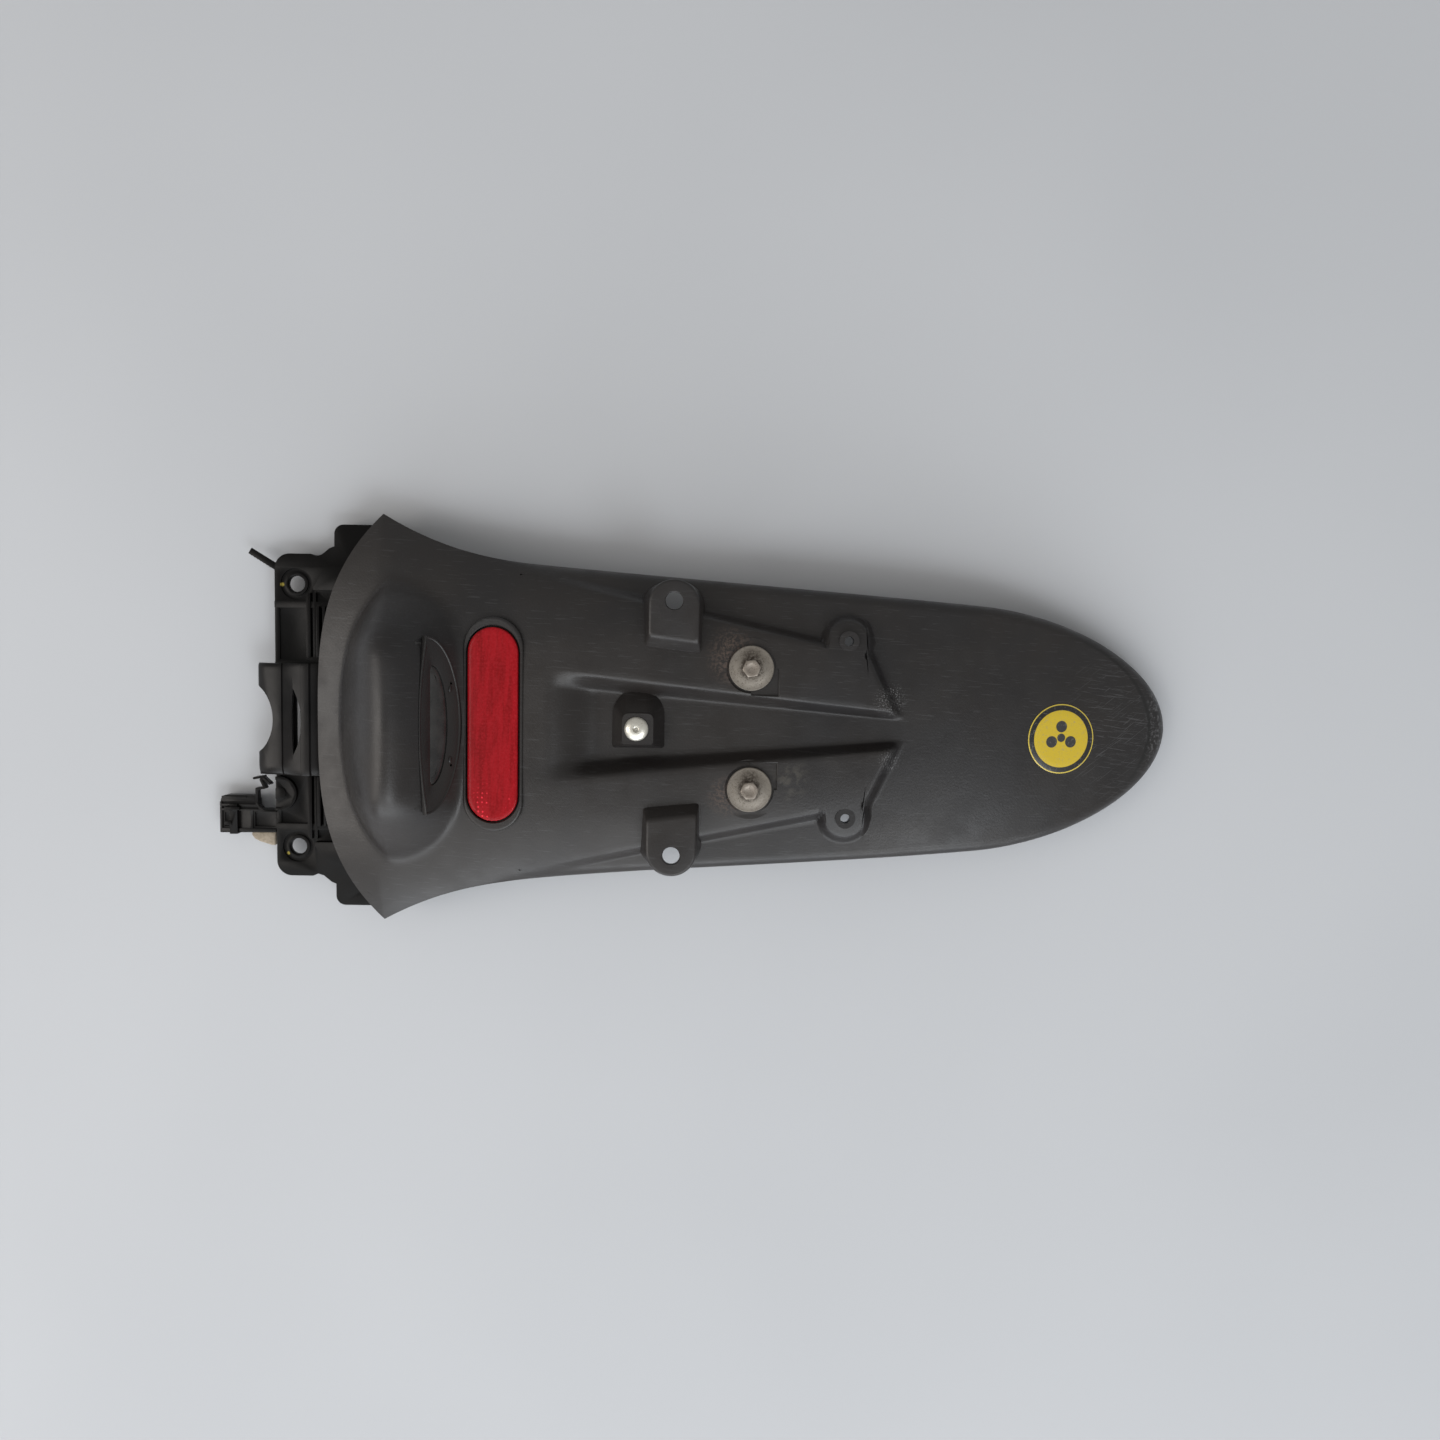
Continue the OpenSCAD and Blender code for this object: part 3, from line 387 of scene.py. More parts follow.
# Finishes
class Paint:
    """A small builder for one material's nodes."""

    def __init__(self, name: str) -> None:
        """Start a material with a Principled shader.

        Args:
            name: the material's name.
        """
        self.material = bpy.data.materials.new(name)
        self.material.use_nodes = True
        self.tree = self.material.node_tree
        self.shader = self.tree.nodes["Principled BSDF"]
        self.place = self.add("ShaderNodeTexCoord").outputs["Object"]

    def add(self, kind: str, **values: object) -> bpy.types.Node:
        """Add a node and set its properties.

        Args:
            kind: the node's type.
            **values: properties of the node and their values.

        Returns:
            The new node.
        """
        made = self.tree.nodes.new(kind)
        for key, value in values.items():
            setattr(made, key, value)
        return made

    def join(self, source: object, target: bpy.types.NodeSocket) -> None:
        """Link a socket to another, or set the target to a plain value.

        Args:
            source: a socket or a plain value.
            target: the socket that takes it.
        """
        if isinstance(source, bpy.types.NodeSocket):
            self.tree.links.new(source, target)
        else:
            target.default_value = source

    def constant(self, **values: float) -> None:
        """Set plain values on the shader's own sockets; an underscore stands for a space."""
        for key, value in values.items():
            self.shader.inputs[key.replace("_", " ")].default_value = value

    def noise(self, scale: float, detail: float = 2.0, rough: float = 0.5, twist: float = 0.0,
              stretch: tuple[float, float, float] = (1, 1, 1), turn: float = 0.0) -> bpy.types.NodeSocket:
        """Return a noise value.

        Args:
            scale: cells for each metre.
            detail: octaves.
            rough: strength of the finer octaves.
            twist: distortion.
            stretch: scale along each axis.
            turn: turn about Z in degrees, before the stretch.

        Returns:
            The value's socket.
        """
        source = self.place
        if stretch != (1, 1, 1) or turn:
            spun = self.add("ShaderNodeMapping", vector_type="POINT")
            spun.inputs["Rotation"].default_value[2] = math.radians(turn)
            self.join(source, spun.inputs["Vector"])
            sized = self.add("ShaderNodeMapping", vector_type="POINT")
            sized.inputs["Scale"].default_value = stretch
            self.join(spun.outputs[0], sized.inputs["Vector"])
            source = sized.outputs[0]
        texture = self.add("ShaderNodeTexNoise")
        self.join(source, texture.inputs["Vector"])
        for key, value in (("Scale", scale), ("Detail", detail), ("Roughness", rough), ("Distortion", twist)):
            texture.inputs[key].default_value = value
        return texture.outputs["Fac"]

    def cells(self, scale: float, feature: str = "F1", random: float = 1.0) -> bpy.types.NodeSocket:
        """Return the distance of a cell pattern with scale cells for each metre.

        Args:
            scale: cells for each metre.
            feature: which distance the cells give.
            random: how uneven the cells are, from 0 to 1.

        Returns:
            The distance's socket.
        """
        texture = self.add("ShaderNodeTexVoronoi", feature=feature)
        self.join(self.place, texture.inputs["Vector"])
        texture.inputs["Scale"].default_value = scale
        texture.inputs["Randomness"].default_value = random
        return texture.outputs["Distance"]

    def remap(self, value: object, low: float, high: float, to_low: float = 0.0, to_high: float = 1.0
              ) -> bpy.types.NodeSocket:
        """Return a value mapped from one range to another and held inside it.

        Args:
            value: a socket or a plain value.
            low: start of the range that comes in.
            high: end of the range that comes in.
            to_low: value at its start.
            to_high: value at its end.

        Returns:
            The result's socket.
        """
        made = self.add("ShaderNodeMapRange", interpolation_type="SMOOTHSTEP")
        for key, given in zip(range(5), (value, low, high, to_low, to_high)):
            self.join(given, made.inputs[key])
        return made.outputs[0]

    def maths(self, how: str, a: object, b: object = 0.0) -> bpy.types.NodeSocket:
        """Return the result of a plain sum on two values.

        Args:
            how: the sum's operation.
            a: a socket or a plain value.
            b: a socket or a plain value.

        Returns:
            The result's socket.
        """
        made = self.add("ShaderNodeMath", operation=how, use_clamp=how in ("ADD", "MULTIPLY", "SUBTRACT"))
        self.join(a, made.inputs[0])
        self.join(b, made.inputs[1])
        return made.outputs[0]

    def near(self, x: float, y: float, inner: float, outer: float, squash: tuple[float, float] = (1, 1)
             ) -> bpy.types.NodeSocket:
        """Return 1 near a place on the part's plan and 0 away from it.

        Args:
            x: the place, in millimetres.
            y: the place, in millimetres.
            inner: distance up to which it is 1.
            outer: distance from which it is 0.
            squash: scale along x and y.

        Returns:
            The share's socket.
        """
        moved = self.add("ShaderNodeMapping", vector_type="POINT")
        moved.inputs["Location"].default_value = (-x * MM * squash[0], -y * MM * squash[1], 0)
        moved.inputs["Scale"].default_value = (squash[0], squash[1], 0)
        self.join(self.place, moved.inputs["Vector"])
        length = self.add("ShaderNodeVectorMath", operation="LENGTH")
        self.join(moved.outputs[0], length.inputs[0])
        return self.remap(length.outputs["Value"], inner * MM, outer * MM, 1.0, 0.0)

    def blend(self, share: object, a: object, b: object) -> bpy.types.NodeSocket:
        """Return colour a mixed with colour b by a share.

        Args:
            share: share of b, as a socket or a plain value.
            a: a colour, or the socket of one.
            b: a colour, or the socket of one.

        Returns:
            The colour's socket.
        """
        made = self.add("ShaderNodeMix", data_type="RGBA")
        self.join(share, made.inputs["Factor"])
        self.join(a if isinstance(a, bpy.types.NodeSocket) else (*a, 1.0), made.inputs["A"])
        self.join(b if isinstance(b, bpy.types.NodeSocket) else (*b, 1.0), made.inputs["B"])
        return made.outputs["Result"]

    def colour(self, value: object) -> None:
        """Give the shader its colour."""
        self.join(value if isinstance(value, bpy.types.NodeSocket) else (*value, 1.0),
                  self.shader.inputs["Base Color"])

    def bumps(self, *layers: tuple[bpy.types.NodeSocket, float, float]) -> None:
        """Stack bump layers: each has a height socket, a strength and a depth in millimetres.

        Args:
            *layers: height socket, strength and depth in millimetres of each.
        """
        normal = None
        for height, strength, depth in layers:
            made = self.add("ShaderNodeBump")
            made.inputs["Strength"].default_value = strength
            made.inputs["Distance"].default_value = depth * MM
            self.join(height, made.inputs["Height"])
            if normal is not None:
                self.join(normal, made.inputs["Normal"])
            normal = made.outputs["Normal"]
        self.join(normal, self.shader.inputs["Normal"])


@dataclass(frozen=True)
class ShellWearAndShade:
    """Where the shell is scratched, rubbed and stained, and where a line of painted shade runs inside its
    rim: x, y, then the full and the faded mark's reach.
    """

    scratched: Spot = (432, 4, 14, 40, (1, 0.75))
    tip: Spot = (459, 0, 6, 13, (1, 0.25))
    rubbed: tuple[Spot, ...] = ((309, 15, 3, 11), (309, -15, 2, 8))
    stained: tuple[Spot, ...] = ((229, 36, 3, 15, (1.0, 0.8)), (228, -34, 2, 13))
    dusty: Spot = (259, -25, 2, 14)
    rim_centre: tuple[float, float] = (356, 0)
    rim_shade_line: tuple[float, float] = (57.6, 56.4)
    rim_squash: tuple[float, float] = (0.607, 1)
    rim_shade_spot: Spot = (456, 22, 36, 60)

    def mark(self, paint: Paint, colour: bpy.types.NodeSocket, rough: bpy.types.NodeSocket
             ) -> tuple[bpy.types.NodeSocket, bpy.types.NodeSocket, bpy.types.NodeSocket]:
        """Add the shell's scratches, rubbed corners and dirt, and a thin dark line of painted shade just
        inside its rim.

        Args:
            paint: the material's builder.
            colour: the clean colour.
            rough: the clean roughness.

        Returns:
            The colour, the roughness and the scratches' height.
        """
        def broken(where: Spot, noise: bpy.types.NodeSocket, low: float, high: float) -> bpy.types.NodeSocket:
            """Return a patch near a place, broken up by a noise."""
            return paint.maths("MULTIPLY", paint.near(*where), paint.remap(noise, low, high))

        lines = paint.remap(paint.noise(70, 3, 0.6, 0.4, (1, 22, 1), 8), 0.6, 0.64)
        cross = paint.remap(paint.noise(60, 3, 0.6, 0.5, (1, 25, 1), -35), 0.63, 0.66)
        faint = paint.remap(paint.noise(90, 2, 0.5, 0.3, (1, 18, 1), 3), 0.63, 0.68)
        scratch = paint.maths("MULTIPLY", paint.maths("MAXIMUM", lines, cross), paint.near(*self.scratched))
        specks = paint.remap(paint.noise(1500, 3, 0.7), 0.56, 0.64)
        rubbed = paint.maths("MAXIMUM", *(paint.near(*spot) for spot in self.rubbed))
        patches = paint.maths("MAXIMUM", *(paint.near(*spot) for spot in self.stained))
        stain = paint.maths("MULTIPLY", patches, paint.remap(paint.noise(700, 4, 0.7), 0.42, 0.62))
        # Painted shade: a thin dark ring just inside the rim round the tail stands for the shade in a groove
        # there; no groove is modelled.
        edges = (paint.near(*self.rim_centre, reach, reach + 0.8, self.rim_squash) for reach in self.rim_shade_line)
        rim = paint.maths("MULTIPLY", paint.maths("SUBTRACT", *edges), paint.near(*self.rim_shade_spot))
        for share, strength, tint in (
            (scratch, 0.14, (0.22, 0.22, 0.23)),
            (faint, 0.25, (0.06, 0.06, 0.062)),
            (broken(self.tip, paint.noise(500, 4, 0.7), 0.5, 0.62), 0.4, (0.16, 0.16, 0.165)),
            (paint.maths("MULTIPLY", specks, rubbed), 1.0, (0.2, 0.2, 0.2)),
            (stain, 0.45, (0.12, 0.08, 0.06)),
            (broken(self.dusty, paint.noise(300, 3, 0.6), 0.4, 0.7), 0.25, (0.12, 0.11, 0.09)),
            # painted shade line inside the rim
            (rim, 0.7, (0.004, 0.004, 0.004)),
        ):
            colour = paint.blend(paint.maths("MULTIPLY", share, strength), colour, tint)
        return colour, paint.maths("ADD", rough, paint.maths("MULTIPLY", stain, 0.2)), scratch


@dataclass(frozen=True)
class GrainedPlastic:
    """Black moulded plastic with a fine leather grain, dust and wear; on the shell also a line of painted
    shade inside the rim.
    """

    name: str
    colour: tuple[float, float, float]
    warm: tuple[float, float, float]
    roughness: float = 0.42
    grain: float = 0.25
    grain_scale: float = 900.0
    shine: float = 0.4
    wear: ShellWearAndShade | None = None
    spots: tuple[tuple[float, float, float], ...] = ()

    def build(self) -> bpy.types.Material:
        """Build the material's nodes.

        Returns:
            The material.
        """
        paint = Paint(self.name)
        shades = paint.noise(14, 3, 0.55)
        colour = paint.blend(paint.remap(shades, 0.35, 0.65), self.colour, self.warm)
        dust = paint.remap(paint.noise(2600, 2, 0.6), 0.66, 0.8)
        colour = paint.blend(paint.maths("MULTIPLY", dust, 0.3), colour, (0.11, 0.105, 0.10))
        rough = paint.remap(paint.noise(60, 4, 0.6), 0.3, 0.7, self.roughness - 0.05, self.roughness + 0.08)
        layers = [
            (paint.cells(self.grain_scale), self.grain, 0.12),
            (paint.noise(2200, 2, 0.5), self.grain * 0.6, 0.06),
        ]
        if self.wear:
            colour, rough, scratch = self.wear.mark(paint, colour, rough)
            layers.append((scratch, 0.15, 0.05))
        for x, y, radius in self.spots:
            dab = paint.maths("MULTIPLY", paint.near(x, y, radius * 0.4, radius), 0.8)
            colour = paint.blend(dab, colour, (0.34, 0.27, 0.05))
        paint.constant(Specular_IOR_Level=self.shine)
        paint.colour(colour)
        paint.join(rough, paint.shader.inputs["Roughness"])
        paint.bumps(*layers)
        return paint.material


@dataclass(frozen=True)
class WornMetal:
    """Plated steel, from clean to corroded, with specks and darker brown patches round given places; the
    washers' patches are painted shadow of the bolt heads and rings round their feet.
    """

    name: str
    colour: tuple[float, float, float]
    speck: tuple[float, float, float]
    stain: tuple[float, float, float]
    metallic: float = 0.8
    roughness: float = 0.4
    specks: float = 0.5
    stained: tuple[tuple[float, float, float, float], ...] = ()

    def build(self) -> bpy.types.Material:
        """Build the material's nodes.

        Returns:
            The material.
        """
        paint = Paint(self.name)
        fine = paint.remap(paint.noise(2600, 3, 0.7), 0.52, 0.6)
        broad = paint.remap(paint.noise(600, 3, 0.6), 0.4, 0.62)
        share = paint.maths("MULTIPLY", paint.maths("MULTIPLY", fine, self.specks), broad)
        colour = paint.blend(share, self.colour, self.speck)
        # Darker brown patches at the given places; on the washers they paint the shadow of each bolt head and
        # a ring round its foot.
        for x, y, inner, outer in self.stained:
            uneven = paint.remap(paint.noise(900, 3, 0.6), 0.3, 0.6)
            patch = paint.maths("MULTIPLY", paint.near(x, y, inner, outer), uneven)
            colour = paint.blend(paint.maths("MULTIPLY", patch, 0.75), colour, self.stain)
        paint.colour(colour)
        paint.constant(Metallic=self.metallic)
        rough = paint.remap(fine, 0, 1, self.roughness, self.roughness + 0.25)
        paint.join(rough, paint.shader.inputs["Roughness"])
        paint.bumps((paint.noise(1800, 3, 0.6), 0.35, 0.08))
        return paint.material


@dataclass(frozen=True)
class ClearRed:
    """The reflector's red plastic: glossy, with streaks, and a fine pattern of prisms painted as bright
    glints that crowd towards the end facing the lamps.
    """

    name: str = "red_lens"

    def build(self) -> bpy.types.Material:
        """Build the material's nodes.

        Returns:
            The material.
        """
        paint = Paint(self.name)
        streak = paint.remap(paint.noise(45, 3, 0.6, 0.3, (9, 1, 1), 2), 0.4, 0.68)
        mottle = paint.remap(paint.noise(900, 2, 0.6), 0.35, 0.7)
        colour = paint.blend(streak, (0.27, 0.004, 0.008), (0.19, 0.002, 0.004))
        colour = paint.blend(paint.maths("MULTIPLY", mottle, 0.3), colour, (0.36, 0.018, 0.025))
        # Painted glints: bright red prism cells, faint all over and strong near the reflector's −Y end, which
        # faces the lamps.
        prism_glints = paint.remap(paint.cells(430, "F1", 0.25), 0.16, 0.26, 1.0, 0.0)
        low = paint.maths("ADD", paint.near(110, -42, 4, 15), 0.08)
        colour = paint.blend(paint.maths("MULTIPLY", prism_glints, low), colour, (0.75, 0.03, 0.05))
        paint.colour(colour)
        paint.constant(Roughness=0.3, Specular_IOR_Level=0.1, Coat_Weight=0.08, Coat_Roughness=0.1)
        paint.bumps((paint.cells(700, "F1", 0.4), 0.2, 0.08))
        return paint.material


@dataclass(frozen=True)
class SmokedWindow:
    """The lamp's smooth grey window."""

    name: str = "lamp_window"

    def build(self) -> bpy.types.Material:
        """Build the material's nodes.

        Returns:
            The material.
        """
        paint = Paint(self.name)
        haze = paint.remap(paint.noise(120, 3, 0.6), 0.3, 0.7)
        paint.colour(paint.blend(haze, (0.018, 0.018, 0.018), (0.030, 0.030, 0.029)))
        paint.constant(Specular_IOR_Level=0.4, Coat_Weight=0.1, Coat_Roughness=0.2)
        paint.join(paint.remap(haze, 0, 1, 0.25, 0.38), paint.shader.inputs["Roughness"])
        paint.bumps((paint.noise(500, 2, 0.5), 0.15, 0.05))
        return paint.material


@dataclass(frozen=True)
class ClearGlass:
    """The bulb's clear glass."""

    name: str = "bulb_glass"

    def build(self) -> bpy.types.Material:
        """Build the material's nodes.

        Returns:
            The material.
        """
        paint = Paint(self.name)
        paint.colour((0.85, 0.85, 0.82))
        paint.constant(Roughness=0.1, Transmission_Weight=0.8)
        return paint.material


@dataclass(frozen=True)
class DustyMatt:
    """A plain matt finish with a slight mottle, for rubber, seals and inner pieces."""

    name: str
    colour: tuple[float, float, float]
    mottled: tuple[float, float, float]
    roughness: float = 0.7
    scale: float = 500.0

    def build(self) -> bpy.types.Material:
        """Build the material's nodes.

        Returns:
            The material.
        """
        paint = Paint(self.name)
        spots = paint.remap(paint.noise(self.scale, 4, 0.65), 0.35, 0.7)
        paint.colour(paint.blend(spots, self.colour, self.mottled))
        rough = paint.remap(spots, 0, 1, self.roughness, self.roughness + 0.15)
        paint.join(rough, paint.shader.inputs["Roughness"])
        paint.bumps((paint.noise(self.scale * 2, 3, 0.6), 0.3, 0.1))
        return paint.material


@dataclass(frozen=True)
class RoundLabel:
    """A round printed label: a pale rim, a dark ring and a yellow field with a plain pattern."""

    centre: tuple[float, float]
    radius: float
    name: str = "label_print"

    def build(self) -> bpy.types.Material:
        """Build the material's nodes.

        Returns:
            The material.
        """
        paint = Paint(self.name)
        x, y = self.centre

        def inside(radius: float, dx: float = 0.0, dy: float = 0.0, squash: tuple[float, float] = (1, 1)
                   ) -> bpy.types.NodeSocket:
            """Return 1 inside a circle or ellipse on the label."""
            return paint.near(x + dx, y + dy, radius - 0.15, radius + 0.15, squash)

        colour = paint.blend(inside(self.radius - 0.55), (0.55, 0.42, 0.06), (0.012, 0.012, 0.012))
        colour = paint.blend(inside(self.radius - 3.2), colour, (0.50, 0.36, 0.022))
        for dx, dy in ((-5.2, -1.5), (5.2, -1.5), (0.0, 6.4)):
            colour = paint.blend(inside(3.0, dx, dy), colour, (0.03, 0.03, 0.03))
        colour = paint.blend(inside(2.2, 0, 0.6), colour, (0.03, 0.03, 0.03))
        worn = paint.remap(paint.noise(800, 4, 0.7), 0.56, 0.66)
        paint.colour(paint.blend(paint.maths("MULTIPLY", worn, 0.35), colour, (0.20, 0.19, 0.17)))
        paint.join(paint.remap(worn, 0, 1, 0.3, 0.5), paint.shader.inputs["Roughness"])
        paint.bumps((paint.noise(700, 2, 0.5), 0.12, 0.05))
        return paint.material


# The shell's form
@dataclass(frozen=True)
class ShellForm:
    """Sizes of the moulded shell, in millimetres, and the heights of its surfaces."""

    tail_x: float = 461.0
    shoulder_half: float = 106.0
    front_x: float = 15.5
    wall: float = 2.5
    front_bow: float = 33.0
    tongue_half: float = 63.7
    tail_round: float = 105.0
    side_taper: float = 0.0762
    flare_length: float = 82.0
    deck_z: float = 38.0
    front_radius: float = 470.0
    deck_arch: float = 14.0
    tongue_z: float = 30.0
    tail_radius: float = 468.0
    tongue_arch: float = 5.0
    rim_r: float = 6.0
    deck_end_x: float = 312.0
    crease_half: float = 73.0
    crease_taper: float = 0.221
    crease_run: float = 6.0
    trough_half: float = 27.0
    trough_floor_half: float = 16.5
    trough_end_half: float = 10.0
    trough_run: float = 26.5
    hood_x: float = 62.0
    hood_half: float = 33.0
    hood_span: float = 76.0
    hood_h: float = 38.0
    deck_x: float = 165.0
    crease_x: float = 130.0
    trough_x: float = 136.5
    plate_x: float = 287.5
    plate_spacing: float = 89.0
    plate_boss_r: float = 14.5
    plate_boss_run: float = 5.0
    crease_fade: tuple[float, float] = (-15.0, 95.0)
    rim_fade: tuple[float, float] = (100.0, 50.0)
    trough_crest_x: float = 290.0
    trough_radius: float = 2100.0
    crest_soft: float = 0.35
    front_soft: float = 0.8
    end_soft: float = 9.0
    end_share: float = 0.927
    foot_soft: float = 0.06
    hood_sweep: float = 6.0
    hood_taper: float = 0.6
    deck_end_run: float = 6.5
    deck_end_turn: float = 24.8
    steepest: float = 1.9
    bow_length: float = 100.0
    tip_blunt: float = 0.25

    @property
    def shoulder_x(self) -> float:
        """Place of the shoulders' corners."""
        return self.front_x + self.front_bow

    @property
    def round_x(self) -> float:
        """Place where the tail starts to round."""
        return self.tail_x - self.tail_round

    def half_sq(self, x: Points) -> Points:
        """Return the square of the half width at x.

        Args:
            x: place along the part.

        Returns:
            Its square, in square millimetres.
        """
        u = np.clip((x - self.round_x) / self.tail_round, 0, 1)
        flare = np.maximum(0, 1 - np.maximum(0, x - self.shoulder_x) / self.flare_length) ** 2.2
        extra = self.shoulder_half - self.tongue_half - self.side_taper * (self.round_x - self.shoulder_x)
        side = self.tongue_half + self.side_taper * (self.round_x - x) + extra * flare
        return side * side * (1 - u * u)

    def half_at(self, x: Points) -> Points:
        """Return the half width at x."""
        return np.sqrt(self.half_sq(x))

    def edge_gap(self, x: Points, y: Points) -> Points:
        """Return the distance of a point inside the outline.

        Args:
            x: place along the part.
            y: place across the part.

        Returns:
            The distance; it is negative outside.
        """
        h = 0.5
        g = (self.half_sq(x + h) - self.half_sq(x - h)) / (2 * h)
        return (self.half_sq(x) - y * y) / np.sqrt(g * g + 4 * y * y + 0.01)

    def deck_at(self, x: Points) -> Points:
        """Return the deck's height on the centre line."""
        return self.deck_z - np.maximum(0, self.deck_x - x) ** 2 / (2 * self.front_radius)

    def deck_skin(self, x: Points, y: Points) -> Points:
        """Return the deck's height, without what stands on it."""
        width = self.half_at(np.clip(x, self.shoulder_x, self.deck_end_x))
        return self.deck_at(x) - self.deck_arch * (np.abs(y) / width) ** 4

    def tongue_at(self, x: Points) -> Points:
        """Return the tongue's and the trough floor's height on the centre line."""
        radius = np.where(x < self.trough_crest_x, self.trough_radius, self.tail_radius)
        return self.tongue_z - (x - self.trough_crest_x) ** 2 / (2 * radius)

    def tongue_skin(self, x: Points, y: Points) -> Points:
        """Return the tongue's height."""
        return self.tongue_at(x) - self.tongue_arch * (y / self.tongue_half) ** 2

    def crease_at(self, x: Points) -> Points:
        """Return the deck's half width."""
        return self.crease_half - self.crease_taper * (x - self.crease_x)

    def trough_share(self, x: Points) -> Points:
        """Return how far x lies along the trough, from 0 to 1."""
        return np.clip((x - self.trough_x) / (self.deck_end_x - self.trough_x), 0, 1)

    def trough_top(self, x: Points) -> Points:
        """Return the trough's half width at its top."""
        return mix(self.trough_half + 2, self.trough_end_half, self.trough_share(x))

    def trough_foot(self, x: Points) -> Points:
        """Return the trough's half width at its floor."""
        return mix(self.trough_floor_half + 2, self.trough_end_half / 2, self.trough_share(x))

    def deck_mask(self, x: Points, ya: Points) -> Points:
        """Return 1 on the deck, and 0 beside it and in the trough.

        Args:
            x: place along the part.
            ya: distance from the centre line.

        Returns:
            The share of the deck.
        """
        start, run = self.crease_fade
        fade = ease((x - self.crease_x - start) / run)
        side = 1 - fade * (1 - ease((self.crease_at(x) + self.crease_run - ya) / self.crease_run))
        turn = math.radians(self.deck_end_turn)
        d = (x - self.deck_end_x) * math.cos(turn) + (ya - self.trough_end_half) * math.sin(turn)
        end = ease(0.5 - d / self.deck_end_run)
        away = np.hypot(x - self.plate_x, ya - self.plate_spacing / 2)
        boss = ease((self.plate_boss_r - away) / self.plate_boss_run)
        trough = ease((self.trough_top(x) - ya) / (self.trough_top(x) - self.trough_foot(x)))
        trough = trough * ease((x - self.trough_x) / self.trough_run)
        return np.maximum(np.minimum(side, end), boss) * (1 - trough)

    def hood_at(self, x: Points, y: Points) -> Points:
        """Return the lamp hood's height above the shell.

        Args:
            x: place along the part.
            y: place across the part.

        Returns:
            The height; it is 0 off the hood.
        """
        along = np.minimum(1, np.abs(y) / (self.hood_span / 2 + self.hood_half))
        ridge = self.hood_x - self.hood_sweep * (y / (self.hood_span / 2 + self.hood_half)) ** 2
        share = np.where(x < ridge, 1 - self.hood_taper * along ** 2, 1.0)
        past = np.abs(y) - self.hood_span / 2 + 2
        end = self.end_share * (np.sqrt(past * past + self.end_soft ** 2) + past) / 2
        q = np.hypot((x - ridge) / share, end) / self.hood_half
        ahead = np.minimum(0, x - ridge) ** 2
        s = mix(self.crest_soft, self.front_soft, ahead / (ahead + end * end))
        p = 1 - (np.sqrt(q * q + s * s) - s) / (np.sqrt(1 + s * s) - s)
        height = self.hood_h * (p + np.sqrt(p * p + self.foot_soft ** 2)) / 2
        return np.where(x > self.hood_x + 2 * self.hood_half, 0, height)

    def skin(self, x: Points, y: Points) -> Points:
        """Return the height of the upper surface.

        Args:
            x: place along the part.
            y: place across the part.

        Returns:
            The height.
        """
        x, y = np.asarray(x, float), np.asarray(y, float)
        m = self.deck_mask(x, np.abs(y))
        k = np.clip(1 - self.edge_gap(x, y) / self.rim_r, 0, 1)
        start, run = self.rim_fade
        drop = self.rim_r * (1 - np.sqrt(1 - k * k)) * ease((x - start) / run)
        return mix(self.tongue_skin(x, y), self.deck_skin(x, y), m) + self.hood_at(x, y) - drop

    def under(self, x: Points, y: Points) -> Points:
        """Return the height of the inner surface: the wall is measured square to the slope.

        Args:
            x: place along the part.
            y: place across the part.

        Returns:
            The height.
        """
        x, y = np.asarray(x, float), np.abs(np.asarray(y, float))
        h = 0.4
        gx = (self.skin(x + h, y) - self.skin(x - h, y)) / (2 * h)
        gy = np.where(y < h, 0, (self.skin(x, y) - self.skin(x, np.maximum(0, y - h))) / h)
        return self.skin(x, y) - self.wall * np.minimum(self.steepest, np.sqrt(1 + gx * gx + gy * gy))


